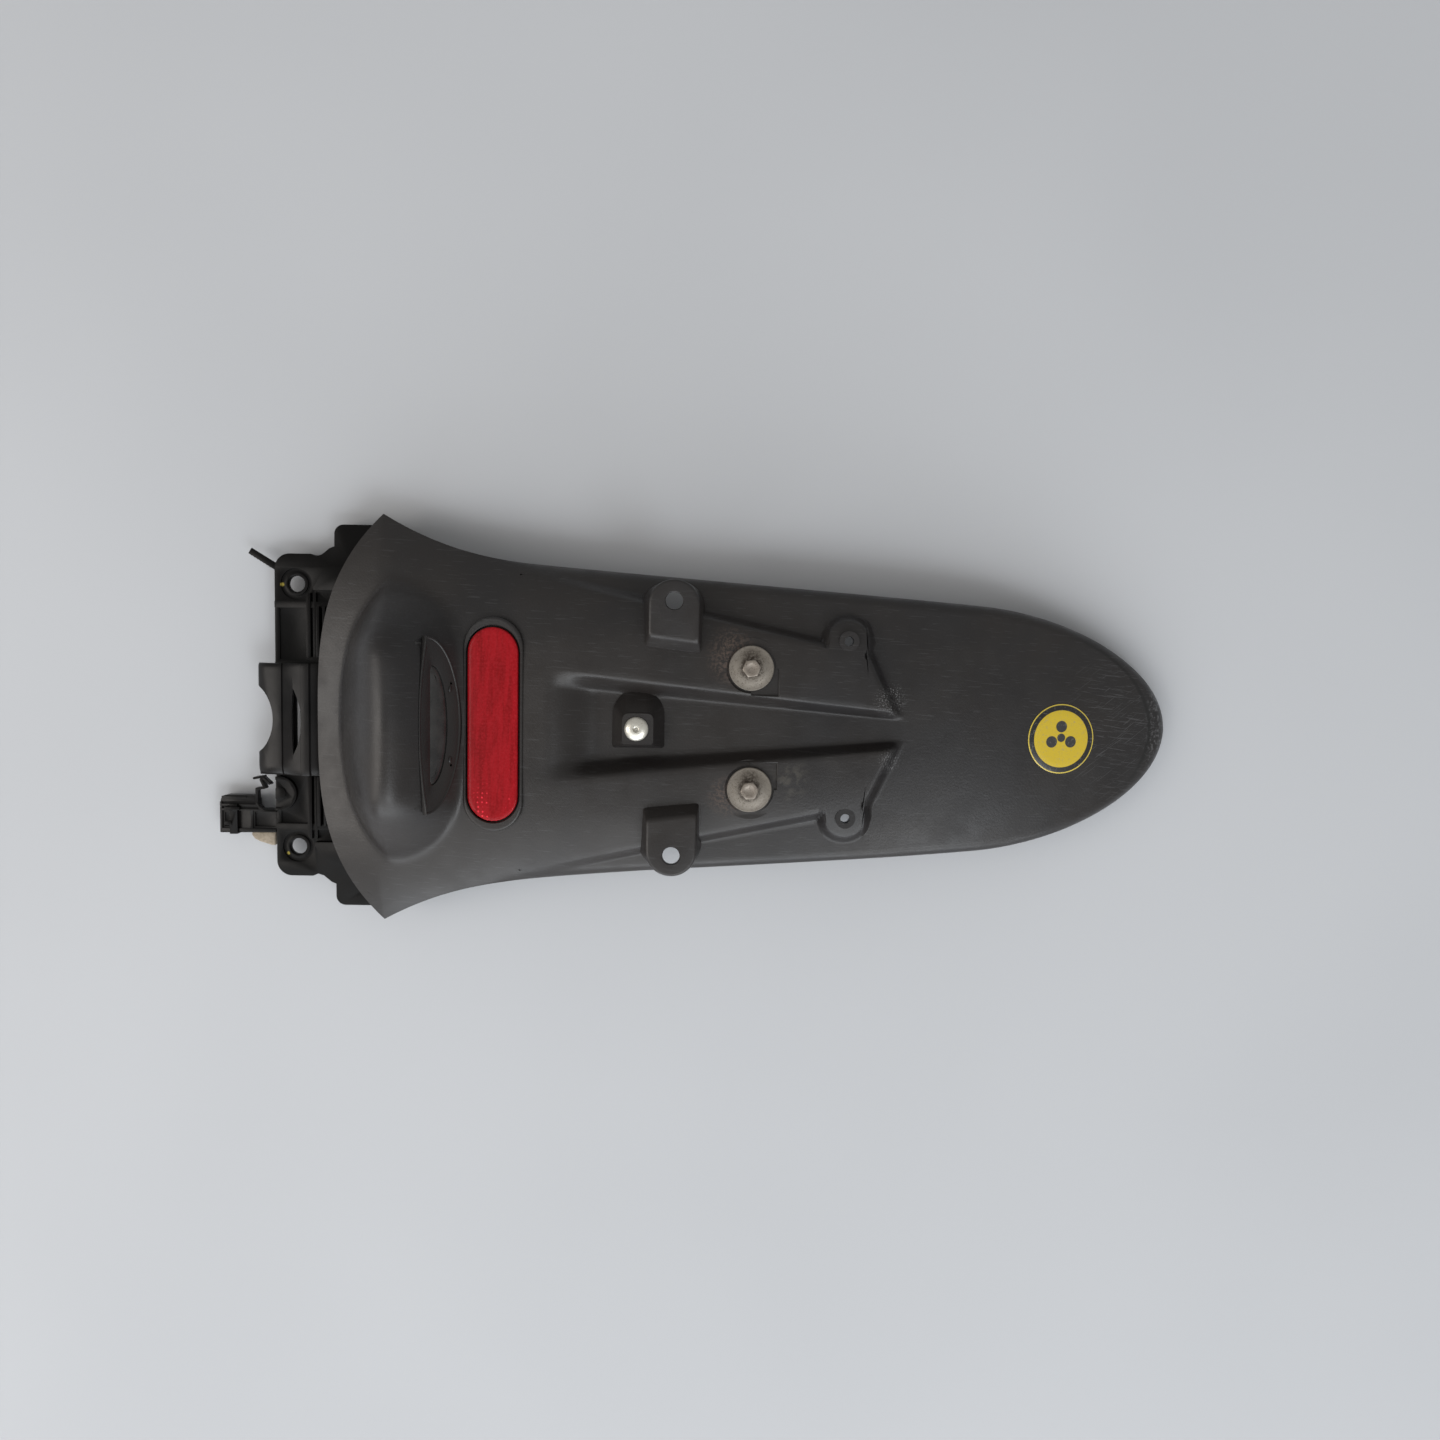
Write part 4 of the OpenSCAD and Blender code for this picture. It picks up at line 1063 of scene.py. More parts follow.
@dataclass
class Shell:
    """The moulded shell: a closed sheet over a grid that follows its features, then carved."""

    form: ShellForm
    counts: tuple[int, ...] = (7, 12, 14, 7, 9, 9)
    rows: tuple[int, ...] = (58, 10, 18, 52, 48, 52, 22)
    tip: float = 24.0
    bolt_x: float = 239.0
    bolt_spacing: float = 60.8
    rivet: tuple[float, float] = (182.0, -1.0)
    plate_top_z: float = 22.5
    pocket_depth: float = 1.5
    pocket_r: float = 12.3
    pocket_corner: float = 13.7
    tab_x: float = 200.5
    tab_spacing: float = 126.0
    tab_w: float = 25.0
    tab_inner: float = 44.0
    tab_top_z: float = 46.0
    tab_draft: tuple[float, float, float] = (0.24, 0.1, 0.55)
    tab_slant: float = 1.5
    reflector: tuple[float, float] = (98.0, 26.4)
    reflector_x: float = 110.0
    seat: tuple[float, float] = (10.0, 4.6)
    screw_places: tuple[tuple[float, float], ...] = ((22.5, 38.0), (44.5, 88.0))

    def stations(self) -> Points:
        """Return distances behind the front edge at which the grid has a row.

        Returns:
            The distances, from 0 on.
        """
        f = self.form
        features = (f.trough_x - 5, f.trough_x + f.trough_run, f.plate_x - 16, f.deck_end_x + 5,
                    f.tail_x - self.tip)
        marks = [0, 84, *(x - f.front_x for x in features)]
        parts = [np.linspace(a, b, n, endpoint=False) for a, b, n in zip(marks, marks[1:], self.rows)]
        t = np.linspace(0, 1, self.rows[-1])
        parts.append(f.tail_x - self.tip * (1 - t) ** 2 - f.tip_blunt * t - f.front_x)
        return np.concatenate(parts)

    def lines(self, x: float, w: float) -> Points:
        """Return the grid's distances from the centre line, which follow the trough, crease and rim.

        Args:
            x: place along the part.
            w: half width there.

        Returns:
            The distances, from 0 to the half width.
        """
        f = self.form

        def boss(r: float) -> float:
            """Reach of a plate boss at x."""
            away = abs(x - f.plate_x)
            return f.plate_spacing / 2 + math.sqrt(r * r - away * away) if away < r else 0.0

        xm = min(x, f.deck_end_x)
        crease = float(f.crease_at(xm))
        feature = [0, float(f.trough_foot(xm)), float(f.trough_top(xm)),
                   max(crease, boss(f.plate_boss_r - f.plate_boss_run)),
                   max(crease + f.crease_run, boss(f.plate_boss_r)), w - f.rim_r, w]
        plain = [0, 0.15 * w, 0.3 * w, 0.6 * w, 0.7 * w, max(w - f.rim_r, 0.82 * w), w]
        k = float(ease((x - 95) / 40) * (1 - ease((x - f.deck_end_x - 4) / 40)))
        marks = [mix(b, a, k) for a, b in zip(feature, plain)]
        parts = [np.linspace(a, b, n, endpoint=False) for a, b, n in zip(marks, marks[1:], self.counts)]
        return np.concatenate([*parts, [w]])

    def sheet(self) -> Solid:
        """Return the closed sheet between the upper and the inner surface.

        Returns:
            The sheet as one closed solid.
        """
        f = self.form
        xs, ys = [], []
        for s in self.stations():
            bow = f.front_bow * max(0.0, 1 - s / f.bow_length) ** 2
            w = float(f.half_at(np.array(f.front_x + s + bow)))
            line = self.lines(f.front_x + s, w)
            y = np.concatenate([-line[:0:-1], line])
            xs.append(f.front_x + s + bow * np.abs(y / w) ** 3)
            ys.append(y)
        x, y = np.array(xs), np.array(ys)
        rows, cols = x.shape
        upper = np.stack([x, y, f.skin(x, y)], -1).reshape(-1, 3)
        lower = np.stack([x, y, f.under(x, y)], -1).reshape(-1, 3)
        index = np.arange(rows * cols).reshape(rows, cols)
        quads = np.stack([index[:-1, :-1], index[1:, :-1], index[1:, 1:], index[:-1, 1:]], -1).reshape(-1, 4)
        rim = np.concatenate([index[:, 0], index[-1, 1:], index[-2::-1, -1], index[0, -2:0:-1]])
        after, shift = np.roll(rim, -1), rows * cols
        side = np.stack([rim, rim + shift, after + shift, after], -1)
        faces = [tuple(face) for part in (quads, quads[:, ::-1] + shift, side) for face in part.tolist()]
        return Solid(np.vstack([upper, lower]), faces)

    def tab_outline(self, drop: float, inset: float = 0.0) -> Points:
        """Return the outline of the right tab at a depth below its top, shrunk by inset.

        Args:
            drop: depth below the tab's top.
            inset: distance by which it is shrunk.

        Returns:
            The outline's points.
        """
        r = self.tab_w / 2 - inset
        front, back = r + drop * self.tab_draft[0], r + drop * self.tab_draft[1]
        centre, inner = self.tab_spacing / 2 - 2, self.tab_inner + inset - drop * self.tab_draft[2]
        a = np.radians(np.linspace(0, 180, 41))
        reach = np.where(a < math.pi / 2, back, front)
        arc = np.column_stack([reach * np.cos(a), centre + r * np.sin(a)])
        low = np.array([[-front, inner + self.tab_slant], [back, inner - self.tab_slant]])
        corners = self.rounded(np.vstack([arc, low]), [len(arc), len(arc) + 1], 2.2)
        return corners + np.array([self.tab_x, 0.0])

    @staticmethod
    def rounded(outline: Points, corners: Sequence[int], radius: float) -> Points:
        """Return an outline whose named corners are replaced by short arcs.

        Args:
            outline: the outline's points.
            corners: indices of the corners to round.
            radius: distance from the corner at which the arc starts.

        Returns:
            The longer outline.
        """
        result = []
        for i, p in enumerate(outline):
            if i not in corners:
                result.append(p)
                continue
            before, after = outline[i - 1] - p, outline[(i + 1) % len(outline)] - p
            a = p + before / np.linalg.norm(before) * radius
            b = p + after / np.linalg.norm(after) * radius
            result += [(1 - t) ** 2 * a + 2 * t * (1 - t) * p + t * t * b for t in np.linspace(0, 1, 6)]
        return np.array(result)

    def tab(self) -> Solid:
        """Return the right tab, drafted, with a rounded upper edge."""
        levels = [(24.0, 0.0), (1.6, 0.0), (0.9, 0.14), (0.4, 0.42), (0.1, 0.85), (0.0, 1.5)]
        return loft([at_height(self.tab_outline(d, i), self.tab_top_z - d) for d, i in levels])

    def tab_foot(self) -> Solid:
        """Return the space above the inner surface at the tab, which the tab is cut to.

        Returns:
            The space as a solid.
        """
        ys = np.linspace(26, 80, 30)
        x = np.full_like(ys, self.tab_x)
        f = self.form
        low = np.minimum(f.under(x, np.minimum(ys, f.half_at(x) - 0.2)), f.deck_z - f.wall)
        section = np.vstack([np.column_stack([ys, low + 0.4]), [[80, 60], [26, 60]]])
        rings = [np.column_stack([np.full(len(section), self.tab_x + s), section]) for s in (-25, 25)]
        return loft(rings)

    def at_reflector(self) -> Matrix:
        """Return the place of the reflector's seat.

        Returns:
            A matrix in millimetres.
        """
        f = self.form
        x = self.reflector_x
        turn = math.atan((f.deck_x - x) / f.front_radius)
        return Matrix.Translation((x, 0, float(f.deck_at(np.array(x))))) @ Matrix.Rotation(-turn, 4, "Y")

    def boss(self, inset: float) -> Solid:
        """Return the boss that carries the rivet: round on one side and square on the other.

        Args:
            inset: distance by which it is shrunk.

        Returns:
            The boss as a solid.
        """
        n = 24
        r, top = 14.0 - inset, 7.8 - 0.6 * inset
        a = np.radians(np.linspace(0, 180, n))
        square = -10.5 + inset
        foot = np.vstack([np.column_stack([r * np.cos(a), 6.6 + r * np.sin(a)]), [[-r, square], [r, square]]])
        head = np.vstack([np.column_stack([top * np.sign(np.cos(a)) * np.abs(np.cos(a)) ** 0.35,
                                           top * np.abs(np.sin(a)) ** 0.35]), [[-top, -top], [top, -top]]])
        foot, head = (self.rounded(o, [n, n + 1], 1.8) for o in (foot, head))
        low = float(self.form.tongue_at(np.array(self.rivet[0]))) - self.form.wall - inset
        high = 36.0 - inset
        rings = [(foot, foot, 0.0, low), (foot, head, 0.10, low + 2.6), (foot, head, 0.93, high - 1.0),
                 (foot, head, 0.985, high - 0.3), (foot, head, 1.0, high)]
        shift = np.array([self.rivet[0] + 0.7, self.rivet[1]])
        return loft([at_height(mix(f_, h_, t) + shift, z) for f_, h_, t, z in rings])

    def rib(self, x: float, reach: float, depth: float) -> Solid:
        """Return a rib across the shell's inside.

        Args:
            x: place along the part.
            reach: half its length.
            depth: how far it hangs below the inner surface.

        Returns:
            The rib as a solid.
        """
        ys = np.linspace(-reach, reach, 41)
        under = self.form.under(np.full_like(ys, x), ys)
        section = np.vstack([np.column_stack([ys, under - depth]), np.column_stack([ys, under + 1.2])[::-1]])
        return loft([np.column_stack([np.full(len(section), x + s), section]) for s in (-1, 1)])

    def pocket(self) -> Solid:
        """Return the right washer pocket: round, with one square corner, and eased at its upper edge.

        Returns:
            The pocket as a solid, to be cut away.
        """
        a = np.radians(np.linspace(0, 270, 49))
        arc = self.pocket_r * np.column_stack([np.cos(a), np.sin(a)])
        c = self.pocket_corner
        outline = np.vstack([arc, [[0, -c], [c, -c], [c, 0]]])
        centre = np.array([self.bolt_x, self.bolt_spacing / 2])
        top = self.form.deck_z
        levels = [(1.0, top - self.pocket_depth), (1.0, top - 0.45), (1.045, top + 0.1), (1.2, top + 3)]
        return loft([at_height(outline * k + centre, z) for k, z in levels])

    def hole(self, x: float, y: float, radius: float, top: float, bottom: float = -20.0) -> Solid:
        """Return a through hole whose upper edge is eased."""
        levels = [(radius, bottom), (radius, top - 0.4), (radius + 0.45, top + 0.05), (radius + 2.5, top + 4)]
        return turned(levels, 48).moved(x, y)

    def steps(self, lamp: "PlateLamp") -> list[tuple[Cut, Solid]]:
        """Return all that is added to the sheet and cut from it, in order.

        Args:
            lamp: the plate lamp, whose place cuts the hood.

        Returns:
            Each solid, and how it is applied.
        """
        f = self.form
        bolt = (self.bolt_x, self.bolt_spacing / 2)
        rx, ry = self.rivet
        seat = self.at_reflector()
        length, width = self.reflector
        more, wider = self.seat
        ring = loft([at_height(pill(length + more, width + wider, -d), z) for d, z in (
            (0, -4.6), (0, -0.4), (0.2, 0.25), (0.6, 0.65), (1.1, 0.8), (1.8, 0.8))]).placed(seat)
        add: list[Solid] = [ring, self.boss(0)]
        add += post(*bolt, 9, self.plate_top_z, f.deck_z - f.wall / 2).both_sides()
        add += post(*bolt, 15, f.deck_z - f.wall - 2.2, f.deck_z - 1.7).both_sides()
        add += post(f.plate_x, f.plate_spacing / 2, 5, f.deck_z - f.wall - 5, f.deck_z - 1.5).both_sides()
        for x, y in self.screw_places:
            add += post(x, y, 4.5, 0, float(f.under(np.array(x), np.array(y))) + 1).both_sides()
        add += [self.rib(self.rivet[0] + 28, 42, 2.4), self.rib(f.deck_end_x - 38, 36, 5),
                self.rib(f.deck_end_x + 18, 48, 5), self.rib(f.deck_end_x + 62, 40, 5)]
        steps = [(Cut.ADD, s) for s in add]
        cut: list[Solid] = self.pocket().both_sides()
        cut += post(*bolt, 6.5, self.plate_top_z - 1, 42).both_sides()
        cut += post(self.tab_x, self.tab_spacing / 2, 10.0, 0, self.tab_top_z - f.wall).both_sides()
        mouth = ((0.6, -2.6), (0.6, 0.3), (1.4, 1.2), (3.5, 4.0))
        cut += [loft([at_height(pill(length, width, g), z) for g, z in mouth]).placed(seat)]
        cut += [post(0, s * 26, 3, -20, 10).placed(seat) for s in (-1, 1)]
        cut += [prism(lamp.outline(-2.5), -12, 28).placed(lamp.place()),
                prism(lamp.outline(0.3), -lamp.thick, 28).placed(lamp.place())]
        cut += self.hole(f.plate_x, f.plate_spacing / 2, 2.4, f.deck_z - 0.45).both_sides()
        cut += [self.hole(rx, ry, 3.3, 36.0)]
        for x, y in self.screw_places:
            cut += post(x, y, 2, -1, 8).both_sides()
        return steps + [(Cut.REMOVE, s) for s in cut]

    def build(self, lamp: "PlateLamp", finish: bpy.types.Material) -> bpy.types.Object:
        """Build the shell.

        Args:
            lamp: the plate lamp, whose place cuts the hood.
            finish: the shell's material.

        Returns:
            The shell, which stands for its CAD node.
        """
        shell = mesh_object("shell_moulding", self.sheet())
        tabs = mesh_object("tabs", self.tab())
        wall, top = self.form.wall, self.tab_top_z
        hollow = loft([at_height(self.tab_outline(d, wall), top - d) for d in (30.0, wall)])
        carve(tabs, [(Cut.KEEP, self.tab_foot())])
        points = np.array([v.co for v in tabs.data.vertices]) / MM
        half = Solid(points, [tuple(p.vertices) for p in tabs.data.polygons])
        bpy.data.objects.remove(tabs)
        first = [(Cut.ADD, s) for s in half.both_sides()]
        steps = first + self.steps(lamp)
        steps += [(Cut.REMOVE, s) for s in hollow.both_sides()]
        bore = self.hole(self.tab_x, self.tab_spacing / 2, 4.3, top)
        steps += [(Cut.REMOVE, s) for s in bore.both_sides()]
        carve(shell, steps)
        shade(shell, 30)
        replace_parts(shell, "fender_shell")
        return wear(shell, finish, "shell_plastic")


@dataclass
class PlateLamp:
    """The plate lamp in the hood's rear slope: a D-shaped cover with a window."""

    form: ShellForm
    length: float = 88.0
    depth: float = 26.0
    bow: float = 4.5
    thick: float = 3.0
    window: tuple[float, float] = (57.0, 8.8)
    shift: float = -0.6
    behind_crest: tuple[float, float] = (16.0, 32.0)

    def place(self) -> Matrix:
        """Return the lamp's frame: x down the slope, y across and z out of it.

        Returns:
            A matrix in millimetres.
        """
        f = self.form
        a, b = (f.hood_x + v for v in self.behind_crest)
        za, zb = (float(f.skin(np.array(v), np.array(0.0))) for v in (a, b))
        turn = math.atan((za - zb) / (b - a))
        return Matrix.Translation(((a + b) / 2, 0, (za + zb) / 2)) @ Matrix.Rotation(turn, 4, "Y")

    def outline(self, grow: float) -> Points:
        """Return the cover's outline, grown."""
        return dee(self.length, self.depth, grow, 0.0, self.bow)

    def cover(self, finish: bpy.types.Material) -> bpy.types.Object:
        """Build the cover: a lip, a sunk field, and a step down to the window.

        Args:
            finish: the piece's material.

        Returns:
            The cover, which stands for its CAD node.
        """
        low = 0.2 - self.thick
        w, d = self.window
        rings = [at_height(self.outline(g), z) for g, z in (
            (0, low), (0, -0.2), (-0.12, 0.06), (-0.4, 0.2), (-0.9, 0.2), (-1.2, 0.05), (-1.4, -0.2))]
        rings += [at_height(dee(w, d, g, self.shift), z) for g, z in (
            (1.3, -0.2), (1.0, -0.3), (0.8, -0.9), (0.8, low))]
        cover = mesh_object("lamp_cover_look", band(rings).placed(self.place()), 30)
        marks = []
        for side in (-1, 1):
            nub = turned([(0.9, -1.2), (0.9, 0.05), (0.6, 0.3), (0.1, 0.38)], 20)
            nub.points[:, 1] *= 1.8
            marks += [(Cut.ADD, nub.moved(6.2, side * 17.6).placed(self.place())),
                      (Cut.REMOVE, post(6.8, side * 20.4, 0.7, -1.6, 3, 16).placed(self.place()))]
        carve(cover, marks)
        shade(cover, 30)
        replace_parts(cover, "lamp_cover")
        return wear(cover, finish, "cover_plastic")

    def lens(self, finish: bpy.types.Material) -> bpy.types.Object:
        """Build the window, slightly crowned.

        Args:
            finish: the piece's material.

        Returns:
            The lens, which stands for its CAD node.
        """
        w, d = self.window
        levels = [(0.7, -2.8), (0.7, -0.9), (0.4, -0.75), (-1.0, -0.66), (-2.6, -0.6)]
        rings = [at_height(dee(w, d, g, self.shift), z) for g, z in levels]
        lens = mesh_object("lamp_lens_look", loft(rings).placed(self.place()), 40)
        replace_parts(lens, "lamp_lens")
        return wear(lens, finish, "lamp_window")


@dataclass
class Reflector:
    """The red pill-shaped reflector."""

    shell: Shell

    def lens(self, finish: bpy.types.Material) -> bpy.types.Object:
        """Build the lens with an eased, slightly crowned face.

        Args:
            finish: the piece's material.

        Returns:
            The lens, which stands for its CAD node.
        """
        length, width = self.shell.reflector
        levels = ((-0.35, -0.9), (-0.3, 0.5), (-0.55, 0.85), (-1.1, 1.05), (-2.4, 1.12), (-5.0, 1.2),
                  (-9.0, 1.2))
        rings = [at_height(pill(length, width, g), z) for g, z in levels]
        lens = mesh_object("reflector_lens_look", loft(rings).placed(self.shell.at_reflector()), 40)
        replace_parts(lens, "reflector_lens")
        return wear(lens, finish, "red_lens")


@dataclass
class DeckBolts:
    """The two hex bolts on their dished washers, and the rivet on its boss."""

    shell: Shell
    flats: float = 8.0
    washer_d: float = 22.4
    washer_hole: float = 3.2
    stack_z: float = 37.3
    washer_t: float = 1.2
    rise: float = 0.8

    def spot(self, side: Side) -> tuple[float, float]:
        """Return a bolt's place."""
        return self.shell.bolt_x, side.value * self.shell.bolt_spacing / 2

    def washer(self, side: Side, finish: bpy.types.Material) -> bpy.types.Object:
        """Build one washer: a flat rim that rises to a cone under the head.

        Args:
            side: the side of the machine.
            finish: the piece's material.

        Returns:
            The washer, which stands for its CAD node.
        """
        hole, outer, knee = self.washer_hole, self.washer_d / 2, self.flats * 0.62
        z, t, h = self.stack_z, self.washer_t, self.rise
        profile = [(hole, z + h), (knee, z + h), (outer - 2, z), (outer - 0.25, z), (outer, z + 0.25),
                   (outer, z + t - 0.35), (outer - 0.35, z + t), (outer - 2, z + t),
                   (mix(outer, knee, 0.5), z + t + h * 0.45), (knee, z + t + h), (hole, z + t + h)]
        washer = mesh_object(f"washer_{side.name.lower()}_look",
                             hollow_turned(profile, 72).moved(*self.spot(side)), 40)
        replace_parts(washer, f"washer_{side.name.lower()}")
        return wear(washer, finish, "corroded_steel")

    def bolt(self, side: Side, finish: bpy.types.Material) -> bpy.types.Object:
        """Build one bolt: a chamfered hex head and a shank.

        Args:
            side: the side of the machine.
            finish: the piece's material.

        Returns:
            The bolt, which stands for its CAD node.
        """
        z = self.stack_z + self.washer_t + self.rise
        corner = self.flats / math.sqrt(3)
        a = np.radians(np.arange(6) * 60 + 8)
        head = prism(corner * np.column_stack([np.cos(a), np.sin(a)]), z, z + 4)
        half = self.flats / 2
        cone = turned([(0.05, z - 1), (corner + 1, z - 1), (corner + 1, z + 2.6), (half - 0.1, z + 3.9),
                       (half - 0.9, z + 4), (2.4, z + 3.85), (1.6, z + 3.6), (0.05, z + 3.55)])
        bolt = mesh_object(f"bolt_{side.name.lower()}_look", head)
        shank = turned([(0.05, z - 25), (2.3, z - 25), (3, z - 24.3), (3, z + 0.5), (0.05, z + 0.5)], 36)
        carve(bolt, [(Cut.KEEP, cone), (Cut.ADD, shank)])
        x, y = self.spot(side)
        bolt.data.transform(Matrix.Translation((x * MM, y * MM, 0)))
        shade(bolt, 28)
        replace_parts(bolt, f"bolt_{side.name.lower()}")
        return wear(bolt, finish, "corroded_steel")

    def rivet(self, finish: bpy.types.Material) -> bpy.types.Object:
        """Build the rivet: a domed head with a sunk middle, and its set end below the plate.

        Args:
            finish: the piece's material.

        Returns:
            The rivet, which stands for its CAD node.
        """
        foot, top = 19.3, 36.0
        profile = [(0.05, foot - 3), (3.6, foot - 3), (4.5, foot - 2), (4.6, foot), (3.2, foot), (3.2, top),
                   (5.9, top), (6.0, top + 0.35), (5.6, top + 0.95), (4.6, top + 1.65), (3.4, top + 2.1),
                   (2.3, top + 2.38), (1.75, top + 2.35), (1.55, top + 2.0), (1.5, top + 0.6),
                   (0.9, top + 0.35), (0.05, top + 0.5)]
        rivet = mesh_object("rivet_look", turned(profile, 56).moved(*self.shell.rivet), 32)
        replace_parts(rivet, "rivet")
        return wear(rivet, finish, "bright_rivet")


@dataclass
class Label:
    """The round label that follows the tongue."""

    form: ShellForm
    centre: tuple[float, float] = (400.0, -4.0)
    radius: float = 18.0
    thick: float = 0.3

    def build(self, finish: bpy.types.Material) -> bpy.types.Object:
        """Build the label as a thin round sheet on the shell.

        Args:
            finish: the piece's material.

        Returns:
            The piece, which stands for its CAD node.
        """
        rings = []
        low, high = 0.02, self.thick
        for share, lift in ((0.02, low), (0.35, low), (0.7, low), (1.0, low), (1.0, 0.2), (0.985, high),
                            (0.66, high), (0.33, high), (0.02, high)):
            flat = circle(self.radius * share, 72) + np.array(self.centre)
            z = self.form.skin(flat[:, 0], flat[:, 1]) + lift
            rings.append(np.column_stack([flat, z]))
        label = mesh_object("label_look", loft(rings), 40)
        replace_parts(label, "sticker")
        return wear(label, finish, "label_yellow")


@dataclass
class Bracket:
    """The flange at the front, with its bolt ears, sunk panels and ribs, and the hook on its edge."""

    form: ShellForm
    front: float = 11.5
    half: float = 85.5
    corner: float = 8.0
    back: float = 34.0
    lug: tuple[float, float, float] = (20.0, 51.0, 101.0)
    thick: float = 3.0
    skirt: float = 12.0
    wall: float = 2.5
    ear_y: float = 69.7
    ear_bore: float = 4.25
    panel: tuple[float, float] = (29.0, 57.0)
    rib_start: float = 31.5
    screws: tuple[tuple[float, float], ...] = ((22.5, 38.0), (44.5, 88.0))
    disc: tuple[float, float, float] = (-9.5, -41.3, 9.2)
    window: tuple[float, float, float, float] = (-1.0, 7.0, -21.0, 14.5)

    def outline(self, shrink: float = 0.0) -> Points:
        """Return the flange's outline, shrunk by a distance, counter-clockwise.

        Args:
            shrink: distance by which it is shrunk.

        Returns:
            The outline's points.
        """
        s, c = shrink, self.corner
        x0, x1, top = self.lug
        right = np.vstack([
            arc(-self.front + c, self.half - c, c - s, 180, 90),
            [[7.6, self.half - s], [10.4, self.half - 1.2 - s], [13.5, self.half - 0.2 - s], [17.5, 88.6 - s],
             [x0 + s, 89.6 - s]],
            arc(x0 + 5, top - 5, 5 - s, 180, 90), arc(x1 - 5, top - 5, 5 - s, 90, 0),
            [[x1 - s, 70 + s], [self.back - s, 70 + s]],
        ])
        return np.vstack([right[::-1], right * np.array([1, -1])])

    def ribs(self) -> list[Solid]:
        """Return the ribs and raised ends of the right side.

        Returns:
            The solids, to be added.
        """
        y0, y1 = self.panel
        f, start = -self.front, self.rib_start
        plateau = np.array([[29, 66.5], [29, 79], [18.5, 78.5], [15.3, 76.8], [12.2, 71.5], [10.4, 68.5],
                            [10.4, 66.5]])
        wall = np.linspace(31, 73, 9)
        crown = self.form.under(np.full(9, 28.0), wall) - 0.6
        section = np.vstack([[[31, -1], [73, -1]], np.column_stack([wall, crown])[::-1]])
        turn = Matrix.Rotation(math.pi / 2, 4, "Z") @ Matrix.Rotation(math.pi / 2, 4, "X")
        return [
            block((f + 0.6, y1 + 0.2, -0.5), (17.5, y1 + 3.4, 2.1)),
            block((f + 0.6, y0 - 2.4, -0.5), (14.5, y0 - 0.4, 2.0)),
            block((6, start, -0.5), (8.2, 65, 3.0)),
            block((9.4, start, -0.5), (11, 65, 2.2)),
            block((11.8, start, -0.5), (13.4, 58, 5.0)),
            block((14.8, start, -0.5), (16.2, 58, 4.0)),
            prism(plateau, -0.5, 5.0),
            prism(section, 28.0, 30.2).placed(turn),
            *(post(x, y, 4.5, 3 - self.skirt, -1, 32) for x, y in self.screws),
        ]

    def steps(self) -> list[tuple[Cut, Solid]]:
        """Return all that is added to the plate and cut from it, in order.

        Returns:
            Each solid, and how it is applied.
        """
        f, low = -self.front, -self.skirt
        y0, y1 = self.panel
        add: list[Solid] = [s for rib in self.ribs() for s in rib.both_sides()]
        cut: list[Solid] = block((f + 2.5, y0 + 1, -1), (5, y1, 3)).both_sides()
        ring = hollow_turned([(6.2, -0.9), (8.2, -0.9), (8.5, 3.0), (5.9, 3.0)], 56)
        cut += ring.moved(0, self.ear_y).both_sides()
        r = self.ear_bore
        bore = [(r, low - 2), (r, -0.6), (r + 0.6, 0.02), (r + 2, 2)]
        cut += turned(bore, 48).moved(0, self.ear_y).both_sides()
        for x, y in self.screws:
            cut += post(x, y, 2.3, low - 2, 20, 32).both_sides()
            cut += post(x, y, 4.0, low - 2, -self.thick - 1.5, 32).both_sides()
        x0, x1, ya, yb = self.window
        cut.append(block((x0, ya, low - 2), (x1, yb, 3)))
        return [(Cut.ADD, s) for s in add] + [(Cut.REMOVE, s) for s in cut] + self.beside_hook()

    def beside_hook(self) -> list[tuple[Cut, Solid]]:
        """Return the half-round boss beside the hook: a rim round a sunk face, cut off by the edge.

        Returns:
            Each solid, and how it is applied.
        """
        x, y, r = self.disc

        def part(radius: float) -> Points:
            """Return the part of a circle behind the flange's front edge."""
            reach = math.degrees(math.acos(max(-1.0, (-self.front - x) / radius)))
            return arc(x, y, radius, -reach, reach, 40)

        return [(Cut.ADD, prism(part(r), -1.5, 1.9)), (Cut.REMOVE, prism(part(r - 1.7), 1.0, 4.0)),
                (Cut.ADD, prism(part(3.4), 0.0, 1.7))]

    def build(self, finish: bpy.types.Material) -> bpy.types.Object:
        """Build the bracket, which stands for its CAD node.

        Args:
            finish: the piece's material.

        Returns:
            The piece, which stands for its CAD node.
        """
        piece = mesh_object("bracket_look", prism(self.outline(), -self.thick, 0.0))
        low, f = -self.skirt, -self.front
        hem = mesh_object("hem", prism(self.outline(), low, -1.5))
        inner: list[Solid] = [prism(self.outline(self.wall), low - 2, 2)]
        inner += block((f - 1, self.panel[1] + 3, low - 2), (8, 110, 2)).both_sides()
        inner.append(block((f - 1, -22, low - 2), (-3, 22, 2)))
        carve(hem, [(Cut.REMOVE, s) for s in inner])
        points = np.array([v.co for v in hem.data.vertices]) / MM
        skirt = Solid(points, [tuple(p.vertices) for p in hem.data.polygons])
        bpy.data.objects.remove(hem)
        braces: list[Solid] = []
        for y in (20.0, 56.0):
            braces += block((f + 1, y, low + 3), (32, y + self.wall, -1)).both_sides()
        carve(piece, [(Cut.ADD, skirt)] + [(Cut.ADD, s) for s in braces] + self.steps())
        soften(piece, 0.35)
        shade(piece, 38)
        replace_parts(piece, "mounting_bracket")
        return wear(piece, finish, "bracket_plastic")

